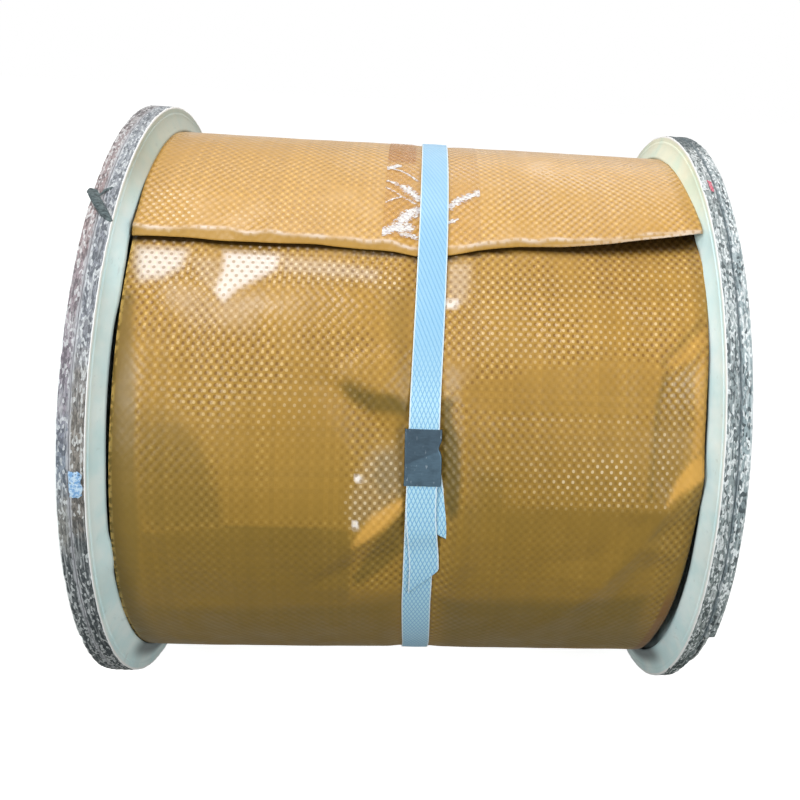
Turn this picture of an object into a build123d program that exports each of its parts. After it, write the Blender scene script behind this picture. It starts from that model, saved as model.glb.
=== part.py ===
from build123d import *
import math
import os

# Wrapped reel of coated wire rope, lying on the rims of its flanges.
# Millimetres. X is the reel's axis, Z is up, the origin is on the floor under the middle.
# Angles round the reel are in degrees: 0 faces the front (-Y) and 90 is the top.

# Flanges, each of two round boards
flange_diameter = 320.0
inside_width = 281.0
inner_board_thickness = 7.0
outer_board_thickness = 6.0
joint_chamfer = 1.2
arbor_diameter = 40.0

# Broken stretch of the right outer board's rim
chip_start_angle = -27.0
chip_end_angle = -64.0
chip_step_angle = 1.0
chip_depth = 5.0
chip_run_out = 1.5

# Barrel, let into a round recess in each inner board
barrel_diameter = 182.0
barrel_wall = 6.0
barrel_seat_depth = 2.0
seat_clearance = 0.2

# Tie bolts inside the barrel
bolt_count = 3
first_bolt_angle = 60.0
bolt_circle_diameter = 130.0
bolt_diameter = 6.0
bolt_hole_clearance = 0.25
bolt_end_projection = 0.6
pocket_diameter = 19.0
across_flats = 10.0
bolt_head_height = 4.0
nut_thickness = 5.0
thread_clearance = 0.05

# Coated rope, wound in nested layers
rope_diameter = 10.0
layer_count = 6
nesting_angle = 60.0
turn_groove_depth = 2.5
winding_side_clearance = 0.3

# Woven sheet round the winding
wrap_thickness = 0.8
wrap_side_gap = 4.4
wrap_lay_clearance = 0.3
layer_gap = 0.2
flap_edge_angle = 46.5
under_edge_angle = 78.0
flap_ramp_start = 82.0
flap_ramp_end = 100.0

# Clear tape across the flap
tape_width = 48.0
tape_thickness = 0.25
tape_offset = 4.5
tape_start_angle = 48.5
tape_end_angle = 116.0

# Strap and seal
strap_width = 14.0
strap_thickness = 0.6
strap_offset = 4.8
strap_gap = 0.15
seal_top_angle = 13.1
seal_bottom_angle = 2.9
seal_width = 17.0
seal_thickness = 0.5
seal_lip_width = 4.0
seal_gap = 0.15
ramp_span = 4.0
long_tail_tip_angle = -22.0
tail_cut_height = 18.0
short_tail_tip_angle = -8.0
short_tail_lean = 5.5
fold_overhang = 1.0
slant_cut_reach = 8.0

# Sizes that follow from the ones above
flange_radius = flange_diameter / 2
barrel_radius = barrel_diameter / 2
axis_height = flange_radius
flange_thickness = inner_board_thickness + outer_board_thickness
rope_radius = rope_diameter / 2
layer_pitch = rope_diameter * math.sin(math.radians(nesting_angle))
winding_bore_radius = barrel_radius + seat_clearance
winding_radius = winding_bore_radius + rope_diameter + (layer_count - 1) * layer_pitch
winding_width = inside_width - 2 * winding_side_clearance
wrap_radius = winding_radius + wrap_lay_clearance
wrap_width = inside_width - 2 * wrap_side_gap
layer_step = wrap_thickness + layer_gap
wrap_outside = wrap_radius + wrap_thickness
strap_left = strap_offset - strap_width / 2
strap_right = strap_offset + strap_width / 2
strap_step = strap_thickness + strap_gap

# Radii of the strap's layers, from the wrap outwards
strap_low = wrap_outside + strap_gap
strap_over_tape = wrap_outside + layer_gap + tape_thickness + strap_gap
strap_over_flap = strap_over_tape + layer_step
lip_radius = strap_low + strap_step
strap_in_seal = lip_radius + seal_thickness + seal_gap
tail_in_seal = strap_in_seal + strap_step
seal_plate_radius = tail_in_seal + strap_thickness + seal_gap


def on_axis(shape):
    """Lift a shape drawn about the X axis to the height of the reel's axis."""
    return Pos(0, 0, axis_height) * shape


def point_at(angle, radius):
    """Point in the cross-section (Y, Z) at an angle round the reel."""
    turn = math.radians(angle)
    return Vector(0, -radius * math.cos(turn), radius * math.sin(turn))


def lay_line(stops):
    """Arcs that follow (angle, radius) stops, rising or falling evenly where the radius changes."""
    edges = []
    for (start, r_start), (end, r_end) in zip(stops, stops[1:]):
        middle = point_at((start + end) / 2, (r_start + r_end) / 2)
        edges.append(ThreePointArc(point_at(start, r_start), middle, point_at(end, r_end)))
    return edges


def band(stops, thickness, width, offset):
    """A flat strip bent along the stops, its inner side on them, centred on X = offset."""
    raised = [(angle, radius + thickness) for angle, radius in stops]
    inner, outer = lay_line(stops), lay_line(raised)
    caps = [Line(point_at(*stops[i]), point_at(*raised[i])) for i in (0, -1)]
    face = make_face(inner + outer + caps)
    return Pos(offset - width / 2, 0, 0) * extrude(face, amount=width, dir=(1, 0, 0))


def disc(radius, thickness, start):
    """A round plate whose near face is at X = start."""
    return Pos(start, 0, 0) * Rot(0, 90, 0) * Cylinder(
        radius, thickness, align=(Align.CENTER, Align.CENTER, Align.MIN))


def ring_of(shape):
    """Copies of a shape on the bolt circle, one for each tie bolt."""
    spots = [first_bolt_angle + 360 / bolt_count * i for i in range(bolt_count)]
    return [Pos(*point_at(spot, bolt_circle_diameter / 2)) * shape for spot in spots]


def round_board(thickness, start):
    """A flange board with its arbor hole."""
    return disc(flange_radius, thickness, start) - disc(arbor_diameter / 2, thickness, start)


def chip():
    """The ragged piece broken out of a rim, as a prism along X."""
    clear = flange_radius + chip_depth
    bite = flange_radius - chip_depth
    half_way = (chip_start_angle + chip_end_angle) / 2
    outline = Polyline(
        point_at(chip_start_angle + chip_step_angle, clear),
        point_at(chip_start_angle, flange_radius),
        point_at(chip_start_angle - chip_step_angle, bite), point_at(half_way, bite + chip_run_out),
        point_at(chip_end_angle + 2 * chip_step_angle, flange_radius - chip_run_out),
        point_at(chip_end_angle, flange_radius), point_at(half_way, clear + chip_depth), close=True)
    return extrude(make_face(outline), amount=2 * flange_thickness + inside_width, dir=(1, 0, 0))


def inner_board(side):
    """Board next to the rope, with the barrel's recess in its inner face."""
    near = inside_width / 2
    board = round_board(inner_board_thickness, near)
    board -= disc(barrel_radius + seat_clearance, barrel_seat_depth, near)
    hole = disc(bolt_diameter / 2 + bolt_hole_clearance, inner_board_thickness, near)
    for cut in ring_of(hole):
        board -= cut
    return on_axis(board if side > 0 else mirror(board, Plane.YZ))


def outer_board(side):
    """Board on the outside, with a pocket for each bolt head or nut and its joint edge chamfered."""
    near = inside_width / 2 + inner_board_thickness
    board = round_board(outer_board_thickness, near)
    rim = board.edges().filter_by(GeomType.CIRCLE).group_by(SortBy.RADIUS)[-1].sort_by(Axis.X)[0]
    board = chamfer(rim, joint_chamfer)
    for cut in ring_of(disc(pocket_diameter / 2, outer_board_thickness, near)):
        board -= cut
    if side > 0:
        board -= chip()
    return on_axis(board if side > 0 else mirror(board, Plane.YZ))


def barrel():
    """Core tube between the flanges."""
    length = inside_width + 2 * (barrel_seat_depth - seat_clearance)
    tube = disc(barrel_radius, length, -length / 2)
    return on_axis(tube - disc(barrel_radius - barrel_wall, length, -length / 2))


def rope_winding():
    """The wound rope turned about the axis: on each end every second layer lies in a groove."""
    half = winding_width / 2
    end = [(half, winding_bore_radius)]
    for layer in range(1, layer_count):
        lies_back = turn_groove_depth * (layer % 2)
        end.append((half - lies_back, winding_bore_radius + rope_radius + layer * layer_pitch))
    end.append((half - rope_radius, winding_radius))
    other_end = [(-x, radius) for x, radius in reversed(end)]
    outline = Polyline(*[(x, radius, 0) for x, radius in end + other_end], close=True)
    return on_axis(revolve(make_face(outline), Axis.X))


def wrap_stops():
    """Line of the sheet from its tucked end, down the front, round the back and over the flap."""
    raised = wrap_radius + layer_step
    return [(under_edge_angle, wrap_radius), (flap_ramp_end - 360, wrap_radius),
            (flap_ramp_start - 360, raised), (flap_edge_angle - 360, raised)]


def wrap_sheet():
    """The woven sheet, once round and lapped over its own start."""
    return on_axis(band(wrap_stops(), wrap_thickness, wrap_width, 0))


def clear_tape():
    """Tape that follows the flap and the ramp behind it."""
    low = wrap_outside + layer_gap
    high = low + layer_step
    stops = [(tape_start_angle, high), (flap_ramp_start, high), (flap_ramp_end, low),
             (tape_end_angle, low)]
    return on_axis(band(stops, tape_thickness, tape_width, tape_offset))


def strap():
    """Strap with a short tail folded back behind the seal and a long tail over the front."""
    fold_angle = seal_top_angle + fold_overhang
    once_round = [(fold_angle, strap_in_seal), (short_tail_tip_angle, strap_in_seal),
                  (short_tail_tip_angle - ramp_span, strap_low),
                  (tape_end_angle - 360 + ramp_span, strap_low),
                  (tape_end_angle - 360, strap_over_tape), (flap_ramp_end - 360, strap_over_tape),
                  (flap_ramp_start - 360, strap_over_flap), (flap_edge_angle - 360, strap_over_flap),
                  (flap_edge_angle - ramp_span - 360, strap_low),
                  (fold_angle + 2 * ramp_span - 360, strap_low), (fold_angle - 360, tail_in_seal)]
    over_front = [(fold_angle, tail_in_seal), (short_tail_tip_angle, tail_in_seal),
                  (short_tail_tip_angle - ramp_span, strap_low + strap_step),
                  (long_tail_tip_angle, strap_low + strap_step)]
    behind_seal = [(short_tail_tip_angle, strap_low), (fold_angle, strap_low)]
    fold = [(fold_angle - fold_overhang / 2, strap_low), (fold_angle, strap_low)]
    fold_height = strap_in_seal + strap_thickness - strap_low
    loop = band(once_round, strap_thickness, strap_width, strap_offset)
    loop += band(fold, fold_height, strap_width, strap_offset)
    loop += band(over_front, strap_thickness, strap_width, strap_offset) - tail_cut()
    short_tail = band(behind_seal, strap_thickness, 2 * strap_width, strap_offset + strap_width / 2)
    return on_axis(loop + (short_tail & leaning_strip(fold_angle, short_tail_tip_angle)))


def prism(outline, angle):
    """Straight prism through the reel's side at an angle: X along the reel, Y up the front."""
    side = Plane(origin=point_at(angle, wrap_radius), x_dir=(1, 0, 0), z_dir=point_at(angle, 1))
    return extrude(side * make_face(Polyline(*outline, close=True)), amount=slant_cut_reach, both=True)


def leaning_strip(top_angle, tip_angle):
    """Prism as wide as the strap that leans to the right on its way down."""
    rise = wrap_radius * math.radians(top_angle - tip_angle) / 2
    outline = [(strap_left, 2 * rise), (strap_right, 2 * rise), (strap_right, rise),
               (strap_right + short_tail_lean, -rise), (strap_left + short_tail_lean, -rise),
               (strap_left, rise)]
    return prism(outline, (top_angle + tip_angle) / 2)


def tail_cut():
    """Wedge that cuts the long tail's end on the slant, low on the left."""
    outline = [(strap_left, 0), (strap_right, tail_cut_height),
               (strap_right + strap_width, tail_cut_height),
               (strap_right + strap_width, -tail_cut_height), (strap_left, -tail_cut_height)]
    return prism(outline, long_tail_tip_angle)


def strap_seal():
    """Sleeve folded round both strap layers: a plate, two sides and two lips."""
    inside = strap_width + 2 * seal_gap
    half_out, half_in = seal_width / 2, inside / 2
    low, high = lip_radius, seal_plate_radius + seal_thickness
    lip = half_in - seal_lip_width
    outline = [(-half_out, low), (-lip, low), (-lip, low + seal_thickness),
               (-half_in, low + seal_thickness), (-half_in, seal_plate_radius),
               (half_in, seal_plate_radius), (half_in, low + seal_thickness),
               (lip, low + seal_thickness), (lip, low), (half_out, low), (half_out, high),
               (-half_out, high)]
    section = make_face(Polyline(*[(x + strap_offset, 0, r) for x, r in outline], close=True))
    sleeve = revolve(section, Axis.X, seal_top_angle - seal_bottom_angle)
    return on_axis(sleeve.rotate(Axis.X, 90 - seal_top_angle))


def hexagon(height, start):
    """A bolt head or nut whose near face is at X = start."""
    outline = RegularPolygon(across_flats / 2, 6, major_radius=False)
    return Pos(start, 0, 0) * Rot(0, 90, 0) * extrude(outline, amount=height)


def tie_bolts():
    """Bolts with their heads in the left pockets and their ends through the right nuts."""
    seat = inside_width / 2 + inner_board_thickness
    shank = disc(bolt_diameter / 2, 2 * seat + nut_thickness + bolt_end_projection, -seat)
    bolt = shank + hexagon(bolt_head_height, -seat - bolt_head_height)
    return [on_axis(copy) for copy in ring_of(bolt)]


def tie_nuts():
    """Nuts in the right pockets."""
    seat = inside_width / 2 + inner_board_thickness
    nut = hexagon(nut_thickness, seat)
    nut -= disc(bolt_diameter / 2 + thread_clearance, nut_thickness, seat)
    return [on_axis(copy) for copy in ring_of(nut)]


def numbered(name, shapes):
    """Node names for the copies of one piece."""
    return {f"{name}_{i}": shape for i, shape in enumerate(shapes, 1)}


nodes = {
    "left_inner_board": inner_board(-1), "left_outer_board": outer_board(-1),
    "right_inner_board": inner_board(1), "right_outer_board": outer_board(1),
    "barrel": barrel(), "rope_winding": rope_winding(), "wrap_sheet": wrap_sheet(),
    "clear_tape": clear_tape(), "strap": strap(), "strap_seal": strap_seal(),
    **numbered("tie_bolt", tie_bolts()), **numbered("tie_nut", tie_nuts()),
}

os.makedirs("parts", exist_ok=True)
for name, shape in nodes.items():
    export_step(shape, f"parts/{name}.step")
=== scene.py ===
import math

import bmesh
import bpy
import numpy as np
from mathutils import Matrix, Vector, noise
from mathutils.geometry import delaunay_2d_cdt


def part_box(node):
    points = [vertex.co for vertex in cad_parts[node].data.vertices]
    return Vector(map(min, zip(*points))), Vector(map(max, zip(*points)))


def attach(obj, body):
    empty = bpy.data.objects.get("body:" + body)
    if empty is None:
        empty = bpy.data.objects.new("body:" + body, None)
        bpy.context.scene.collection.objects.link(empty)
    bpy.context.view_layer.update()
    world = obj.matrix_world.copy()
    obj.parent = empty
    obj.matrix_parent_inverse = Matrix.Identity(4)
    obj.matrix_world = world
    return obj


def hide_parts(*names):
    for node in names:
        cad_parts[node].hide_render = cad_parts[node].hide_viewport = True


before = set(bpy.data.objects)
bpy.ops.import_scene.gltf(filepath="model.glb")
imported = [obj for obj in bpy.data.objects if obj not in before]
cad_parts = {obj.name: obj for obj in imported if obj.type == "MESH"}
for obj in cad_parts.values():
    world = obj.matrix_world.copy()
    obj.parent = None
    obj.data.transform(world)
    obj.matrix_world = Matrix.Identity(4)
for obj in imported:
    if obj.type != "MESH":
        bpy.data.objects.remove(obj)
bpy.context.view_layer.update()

# Places on the reel: X runs along its axis, an angle of 0 degrees faces the front, 90 is the top.
# Lengths that end in _mm are millimetres on the real reel, all others are metres.
MM = 0.001

inner_low, inner_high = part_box("right_inner_board")
outer_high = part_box("right_outer_board")[1]
sheet_low, sheet_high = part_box("wrap_sheet")
winding_low, winding_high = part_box("rope_winding")
strap_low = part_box("strap")[0]

flange_radius = (inner_high.z - inner_low.z) / 2
axis_height = (inner_high.z + inner_low.z) / 2
inside_face = inner_low.x
board_joint = inner_high.x
outside_face = outer_high.x
sheet_outside = axis_height - sheet_low.z
winding_radius = (winding_high.z - winding_low.z) / 2
winding_half = winding_high.x
strap_outside = axis_height - strap_low.z

LAP_STEP_MM = 1.0
FLAP_EDGE_ANGLE = 46.5
UNDER_EDGE_ANGLE = 78.0
LAP_RAMP_START = 82.0
LAP_RAMP_END = 100.0
FULL_TURN = 360.0
MM_PER_DEGREE = math.radians(1) * sheet_outside / MM
ARBOR_RADIUS_MM = 20.0
BOLT_CIRCLE_RADIUS_MM = 65.0
BOLT_ANGLES = (60.0, 180.0, 300.0)
POCKET_RADIUS_MM = 9.5
BOLT_HOLE_RADIUS_MM = 3.25
ROPE_DIAMETER_MM = 10.0
STRAP_WIDTH_MM = 14.0
STRAP_THICKNESS_MM = 0.6
STRAP_BORDER_MM = 0.55
SHEET_THICKNESS_MM = 0.45
TURNS_ACROSS = 26
OUTER_TURNS_SUNK_MM = 2.6
SHORT_OF_FLANGE_MM = (5.0, 3.4, 5.0, 0.0, 5.0, 0.0)


def on_reel(x_mm, angle, radius_mm):
    """Points in metres from places along, round and out from the reel's axis."""
    turn = np.radians(angle)
    out = np.asarray(radius_mm) * MM
    along = np.asarray(x_mm, float) * MM + 0 * out
    return np.stack([along + 0 * turn, -out * np.cos(turn), axis_height + out * np.sin(turn)], axis=-1)


# The photograph's camera, fitted to the outlines of both flanges and the sheet
PHOTO_PIXELS = 800
CAMERA_PLACE = (-5.19 * MM, -553.38 * MM, axis_height + 201.42 * MM)
CAMERA_RIGHT = (0.99519, -0.0735, 0.06472)
CAMERA_UP = (-0.04454, 0.24893, 0.9675)
CAMERA_BACK = (-0.08722, -0.96573, 0.24445)
LENS_BY_WIDTH = 1.20534
LOOKS_AT = (0.61685, 0.368225)
SEEN_RADIUS_MM = 148.0


def seen_at(pixel_x, pixel_y, radius_mm=SEEN_RADIUS_MM):
    """Where a spot of the photograph lies on the sheet, or on its outline if past it: (along, angle)."""
    right = (pixel_x / PHOTO_PIXELS - LOOKS_AT[0]) / LENS_BY_WIDTH
    up = (LOOKS_AT[1] - pixel_y / PHOTO_PIXELS) / LENS_BY_WIDTH
    line = Vector(CAMERA_RIGHT) * right + Vector(CAMERA_UP) * up - Vector(CAMERA_BACK)
    start = Vector(CAMERA_PLACE) - Vector((0, 0, axis_height))
    a = line.y ** 2 + line.z ** 2
    b = start.y * line.y + start.z * line.z
    c = start.y ** 2 + start.z ** 2 - (radius_mm * MM) ** 2
    spot = start + line * ((-b - math.sqrt(max(b * b - a * c, 0.0))) / a)
    return spot.x / MM, math.degrees(math.atan2(spot.z, -spot.y))


def ease(value, start, end):
    """A smooth rise from 0 at start to 1 at end."""
    t = np.clip((value - start) / (end - start), 0, 1)
    return t * t * (3 - 2 * t)


def turned_back(angle):
    """An angle brought between -180 and 180 degrees."""
    return (angle + FULL_TURN / 2) % FULL_TURN - FULL_TURN / 2


def between(value, stops):
    """The amount at a value, read between stops of (place, amount)."""
    places, amounts = zip(*sorted(stops))
    return np.interp(value, places, amounts)


def from_run(px, py, start, end):
    """Distance from places to the straight run between two points."""
    run = np.array(end) - np.array(start)
    t = np.clip(((px - start[0]) * run[0] + (py - start[1]) * run[1]) / run.dot(run), 0, 1)
    return np.hypot(px - start[0] - t * run[0], py - start[1] - t * run[1])


def soft_noise(x_mm, y_mm, z_mm, size_mm, seed=0.0):
    """Smooth noise from -1 to 1 over arrays of places, with lumps of about size_mm."""
    x, y, z = np.broadcast_arrays(x_mm, y_mm, z_mm)
    flat = zip(x.ravel() / size_mm, y.ravel() / size_mm, z.ravel() / size_mm + seed)
    return np.array([noise.noise(Vector(p)) for p in flat]).reshape(x.shape)


def noise_on_reel(x_mm, angle, size_mm, seed=0.0, radius_mm=145.0):
    """Smooth noise that closes on itself round the reel."""
    turn = np.radians(angle)
    return soft_noise(x_mm, radius_mm * np.cos(turn), radius_mm * np.sin(turn), size_mm, seed)


def grid_mesh(name, points, closed_across=False, closed_along=False):
    """A mesh of four-sided faces through a grid of points, rows along and columns across."""
    rows, columns = points.shape[:2]
    index = np.arange(rows * columns).reshape(rows, columns)
    if closed_across:
        index = np.concatenate([index, index[:, :1]], axis=1)
    if closed_along:
        index = np.concatenate([index, index[:1]], axis=0)
    quads = np.stack([index[:-1, :-1], index[:-1, 1:], index[1:, 1:], index[1:, :-1]], axis=-1)
    mesh = bpy.data.meshes.new(name)
    mesh.from_pydata(points.reshape(-1, 3).tolist(), [], quads.reshape(-1, 4).tolist())
    mesh.validate()
    return mesh


def show(name, data):
    """An object in the scene that holds a mesh, curve, lamp or camera."""
    thing = bpy.data.objects.new(name, data)
    bpy.context.scene.collection.objects.link(thing)
    return thing


def piece(name, mesh, material, replaced=()):
    """A finished piece that rides with the reel and may stand for CAD nodes."""
    thing = show(name, mesh)
    materials = material if isinstance(material, (list, tuple)) else [material]
    for each in materials:
        mesh.materials.append(each)
    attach(thing, "root")
    if replaced:
        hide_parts(*replaced)
    return thing


def smooth(mesh, sharp_angle=40):
    """Smooth shading, with edges sharper than an angle kept crisp."""
    mesh.shade_smooth()
    mesh.set_sharp_from_angle(angle=math.radians(sharp_angle))


def closed_body(name, parts, fill_ends=True):
    """One mesh of several parts, with its open ends filled and every face's front outside."""
    work = bmesh.new()
    for part in parts:
        work.from_mesh(part)
    if fill_ends:
        bmesh.ops.holes_fill(work, edges=[edge for edge in work.edges if edge.is_boundary])
    bmesh.ops.recalc_face_normals(work, faces=work.faces)
    mesh = bpy.data.meshes.new(name)
    work.to_mesh(mesh)
    work.free()
    return mesh


def thicken(thing, thickness_mm):
    """Give a sheet its thickness, half to each side."""
    plies = thing.modifiers.new("thickness", "SOLIDIFY")
    plies.thickness = thickness_mm * MM
    plies.offset = 0


# Shader bench

class Bench:
    """Short calls that place shader nodes in one tree and join them."""

    def __init__(self, tree):
        self.tree = tree

    def place(self, kind, **settings):
        node = self.tree.nodes.new(kind)
        for setting, value in settings.items():
            setattr(node, setting, value)
        return node

    def feed(self, socket, value):
        if isinstance(value, bpy.types.NodeSocket):
            self.tree.links.new(value, socket)
        else:
            socket.default_value = value

    def fill(self, node, **values):
        for name, value in values.items():
            self.feed(node.inputs[name.replace("_", " ")], value)
        return node

    def math(self, operation, *values):
        node = self.place("ShaderNodeMath", operation=operation)
        for socket, value in zip(node.inputs, values):
            self.feed(socket, value)
        return node.outputs[0]

    def stretch(self, place, by):
        """Places squeezed along each axis, so that what is drawn there comes out longer."""
        return self.vector("MULTIPLY", place, by)

    def times(self, first, second):
        return self.math("MULTIPLY", first, second)

    def plus(self, first, second):
        return self.math("ADD", first, second)

    def minus(self, first, second):
        return self.math("SUBTRACT", first, second)

    def apart(self, first, second):
        """How far two values lie from each other."""
        return self.math("ABSOLUTE", self.minus(first, second))

    def vector(self, operation, *values):
        node = self.place("ShaderNodeVectorMath", operation=operation)
        for socket, value in zip(node.inputs, values):
            self.feed(socket, value)
        return node.outputs[0]

    def ramp(self, value, start, end, low=0.0, high=1.0):
        """A smooth step from low at start to high at end."""
        node = self.place("ShaderNodeMapRange", interpolation_type="SMOOTHSTEP")
        for socket, each in zip(node.inputs, (value, start, end, low, high)):
            self.feed(socket, each)
        return node.outputs[0]

    def tint(self, factor, first, second, kind="MIX"):
        node = self.place("ShaderNodeMix", data_type="RGBA", blend_type=kind)
        for socket, each in zip((node.inputs[0], node.inputs[6], node.inputs[7]), (factor, first, second)):
            self.feed(socket, each)
        return node.outputs[2]

    def noise(self, place, size_mm, detail=2.0, roughness=0.5, lopsided=0.0):
        """Noise with lumps of about size_mm over places given in millimetres."""
        node = self.place("ShaderNodeTexNoise")
        self.fill(node, Vector=place, Scale=1 / size_mm, Detail=detail, Roughness=roughness,
                  Distortion=lopsided)
        return node.outputs[0]

    def cover(self, colour, mask, share, shade):
        """A shade laid over a colour where a mask shows, at a share of its full strength."""
        return self.tint(self.times(mask, share), colour, shade)

    def painted(self, zone):
        """A value that the mesh keeps for each of its corners."""
        return self.place("ShaderNodeAttribute", attribute_name=zone).outputs["Fac"]

    def seen(self):
        """1 to the camera, in gloss and through clear film, 0 to the light that bounces."""
        path = self.place("ShaderNodeLightPath").outputs
        through = self.math("MAXIMUM", path["Is Glossy Ray"], path["Is Transmission Ray"])
        return self.math("MAXIMUM", path["Is Camera Ray"], through)

    def finish(self, **values):
        """Feed or set the sockets of the material's own shader."""
        self.fill(self.tree.nodes["Principled BSDF"], **values)

    def group(self, name, **values):
        node = self.place("ShaderNodeGroup", node_tree=bpy.data.node_groups[name])
        return self.fill(node, **values)

    def bump(self, height, depth_mm, strength=1.0, normal=None):
        node = self.place("ShaderNodeBump")
        self.fill(node, Height=height, Distance=depth_mm * MM, Strength=strength)
        if normal is not None:
            self.feed(node.inputs["Normal"], normal)
        return node.outputs[0]


SOCKETS = {"value": "NodeSocketFloat", "colour": "NodeSocketColor", "place": "NodeSocketVector"}


def new_group(name, inputs, outputs):
    """An empty shader group with named sockets: (bench, its inputs, the node to feed)."""
    tree = bpy.data.node_groups.new(name, "ShaderNodeTree")
    for label, kind, *value in inputs:
        socket = tree.interface.new_socket(label, in_out="INPUT", socket_type=SOCKETS[kind])
        if value:
            socket.default_value = value[0]
    for label, kind in outputs:
        tree.interface.new_socket(label, in_out="OUTPUT", socket_type=SOCKETS[kind])
    bench = Bench(tree)
    return bench, bench.place("NodeGroupInput").outputs, bench.place("NodeGroupOutput").inputs


def rgb(red, green, blue):
    """A colour given as it shows on a screen, 0 to 255, turned to the shader's own scale."""
    def linear(level):
        level /= 255
        return level / 12.92 if level <= 0.04045 else ((level + 0.055) / 1.055) ** 2.4
    return (linear(red), linear(green), linear(blue), 1.0)


def new_material(name, **settings):
    """A material and its bench, with the plain settings of its shader."""
    material = bpy.data.materials.new(name)
    material.use_nodes = True
    bench = Bench(material.node_tree)
    bench.finish(**settings)
    return material, bench


def reel_material(name, **settings):
    """A new material, its bench and the places on the reel."""
    material, bench = new_material(name, **settings)
    return material, bench, bench.group("places_on_the_reel").outputs


# Shader groups that several materials share

def make_reel_places():
    """Millimetres along the reel, round it at the sheet and out from its axis, and degrees of rise."""
    bench, _, out = new_group("places_on_the_reel", [],
                              [("Along", "value"), ("Around", "value"), ("Out", "value"), ("Rise", "value"),
                               ("Place", "place"), ("Unrolled", "place")])
    spot = bench.vector("SCALE", bench.place("ShaderNodeTexCoord").outputs["Object"])
    spot.node.inputs["Scale"].default_value = 1 / MM
    spot = bench.vector("SUBTRACT", spot, (0, 0, axis_height / MM))
    parts = bench.place("ShaderNodeSeparateXYZ")
    bench.feed(parts.inputs[0], spot)
    x, y, z = parts.outputs
    turn = bench.math("ARCTAN2", z, bench.times(y, -1.0))
    around = bench.times(turn, sheet_outside / MM)
    radius = bench.math("SQRT", bench.plus(bench.times(y, y), bench.times(z, z)))
    unrolled = bench.place("ShaderNodeCombineXYZ")
    for socket, value in zip(unrolled.inputs, (x, around, radius)):
        bench.feed(socket, value)
    rise = bench.math("DEGREES", bench.math("ARCSINE", bench.math("DIVIDE", z, radius)))
    for name, value in (("Along", x), ("Around", around), ("Out", radius), ("Rise", rise), ("Place", spot),
                        ("Unrolled", unrolled.outputs[0])):
        bench.feed(out[name], value)


def make_plain_weave():
    """Flat tapes woven one over, one under: height, raised and sunk crossings, shades of column and row."""
    bench, given, out = new_group(
        "plain_weave",
        [("Along", "value"), ("Around", "value"), ("Tape width", "value", 2.2), ("Pick width", "value", 2.5)],
        [("Height", "value"), ("Raised", "value"), ("Sunk", "value"), ("Column", "value"), ("Row", "value")])
    cells = [bench.math("DIVIDE", given["Along"], given["Tape width"]),
             bench.math("DIVIDE", given["Around"], given["Pick width"])]
    whole = [bench.math("FLOOR", cell) for cell in cells]
    across = [bench.math("MULTIPLY_ADD", bench.math("FRACT", cell), 2.0, -1.0) for cell in cells]
    over = bench.math("PINGPONG", bench.plus(*whole), 1.0)
    crown = [bench.math("COSINE", bench.times(side, math.pi / 2)) for side in across]
    domed = bench.times(*crown)
    sign = bench.math("MULTIPLY_ADD", over, 2.0, -1.0)
    bench.feed(out["Height"], bench.times(domed, sign))
    bench.feed(out["Raised"], bench.times(over, bench.ramp(domed, 0.35, 0.85)))
    bench.feed(out["Sunk"], bench.times(bench.minus(1.0, over), bench.ramp(domed, 0.25, 0.8)))
    for name, cell in zip(("Column", "Row"), whole):
        own = bench.place("ShaderNodeTexWhiteNoise", noise_dimensions="1D")
        bench.feed(own.inputs["W"], cell)
        bench.feed(out[name], own.outputs["Value"])


def make_pressed_crumbs():
    """The cut edge of pressed board: pale and dark crumbs over a ground, with pits between them."""
    bench, given, out = new_group(
        "pressed_crumbs",
        [("Place", "place"), ("Crumb size", "value", 1.2), ("Ground", "colour"), ("Pale crumbs", "colour"),
         ("Dark crumbs", "colour"), ("Pale share", "value", 0.3), ("Dark share", "value", 0.3),
         ("Patches", "value", 0.5)],
        [("Colour", "colour"), ("Height", "value")])
    cells = bench.place("ShaderNodeTexVoronoi", feature="F1")
    bench.fill(cells, Vector=given["Place"], Scale=bench.math("DIVIDE", 1.0, given["Crumb size"]))
    own = bench.place("ShaderNodeSeparateColor")
    bench.feed(own.inputs[0], cells.outputs["Color"])
    patch = bench.minus(bench.noise(given["Place"], 14.0, 3.0, 0.6), 0.5)
    drift = bench.times(patch, bench.times(given["Patches"], 3.0))
    fine = bench.noise(given["Place"], 0.5, 2.0, 0.6)
    pale_limit = bench.minus(bench.minus(1.0, given["Pale share"]), drift)
    dark_limit = bench.minus(given["Dark share"], drift)
    pale = bench.math("GREATER_THAN", own.outputs[0], pale_limit)
    dark = bench.math("LESS_THAN", own.outputs[0], dark_limit)
    colour = bench.tint(pale, given["Ground"], given["Pale crumbs"])
    colour = bench.tint(dark, colour, given["Dark crumbs"])
    grit = bench.ramp(fine, 0.3, 0.7, 0.72, 1.18)
    colour = bench.tint(1.0, colour, grit, "MULTIPLY")
    bench.feed(out["Colour"], colour)
    height = bench.plus(bench.times(own.outputs[1], 0.7), bench.times(fine, 0.6))
    bench.feed(out["Height"], height)


def make_handling_marks():
    """Uneven smudges and thin scuffs from handling, as two masks."""
    bench, given, out = new_group("handling_marks",
                                  [("Place", "place"), ("Smudge size", "value", 40.0)],
                                  [("Smudges", "value"), ("Scuffs", "value")])
    scale = bench.math("DIVIDE", 1.0, given["Smudge size"])
    cloud = bench.place("ShaderNodeTexNoise")
    bench.fill(cloud, Vector=given["Place"], Scale=scale, Detail=4.0, Roughness=0.6)
    bench.feed(out["Smudges"], bench.ramp(cloud.outputs[0], 0.42, 0.68))
    drawn_out = bench.stretch(given["Place"], (1.0, 0.12, 0.35))
    bench.feed(out["Scuffs"], bench.ramp(bench.noise(drawn_out, 1.6, 3.0, 0.6), 0.62, 0.72))


make_reel_places()
make_plain_weave()
make_pressed_crumbs()
make_handling_marks()


# Materials

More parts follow.
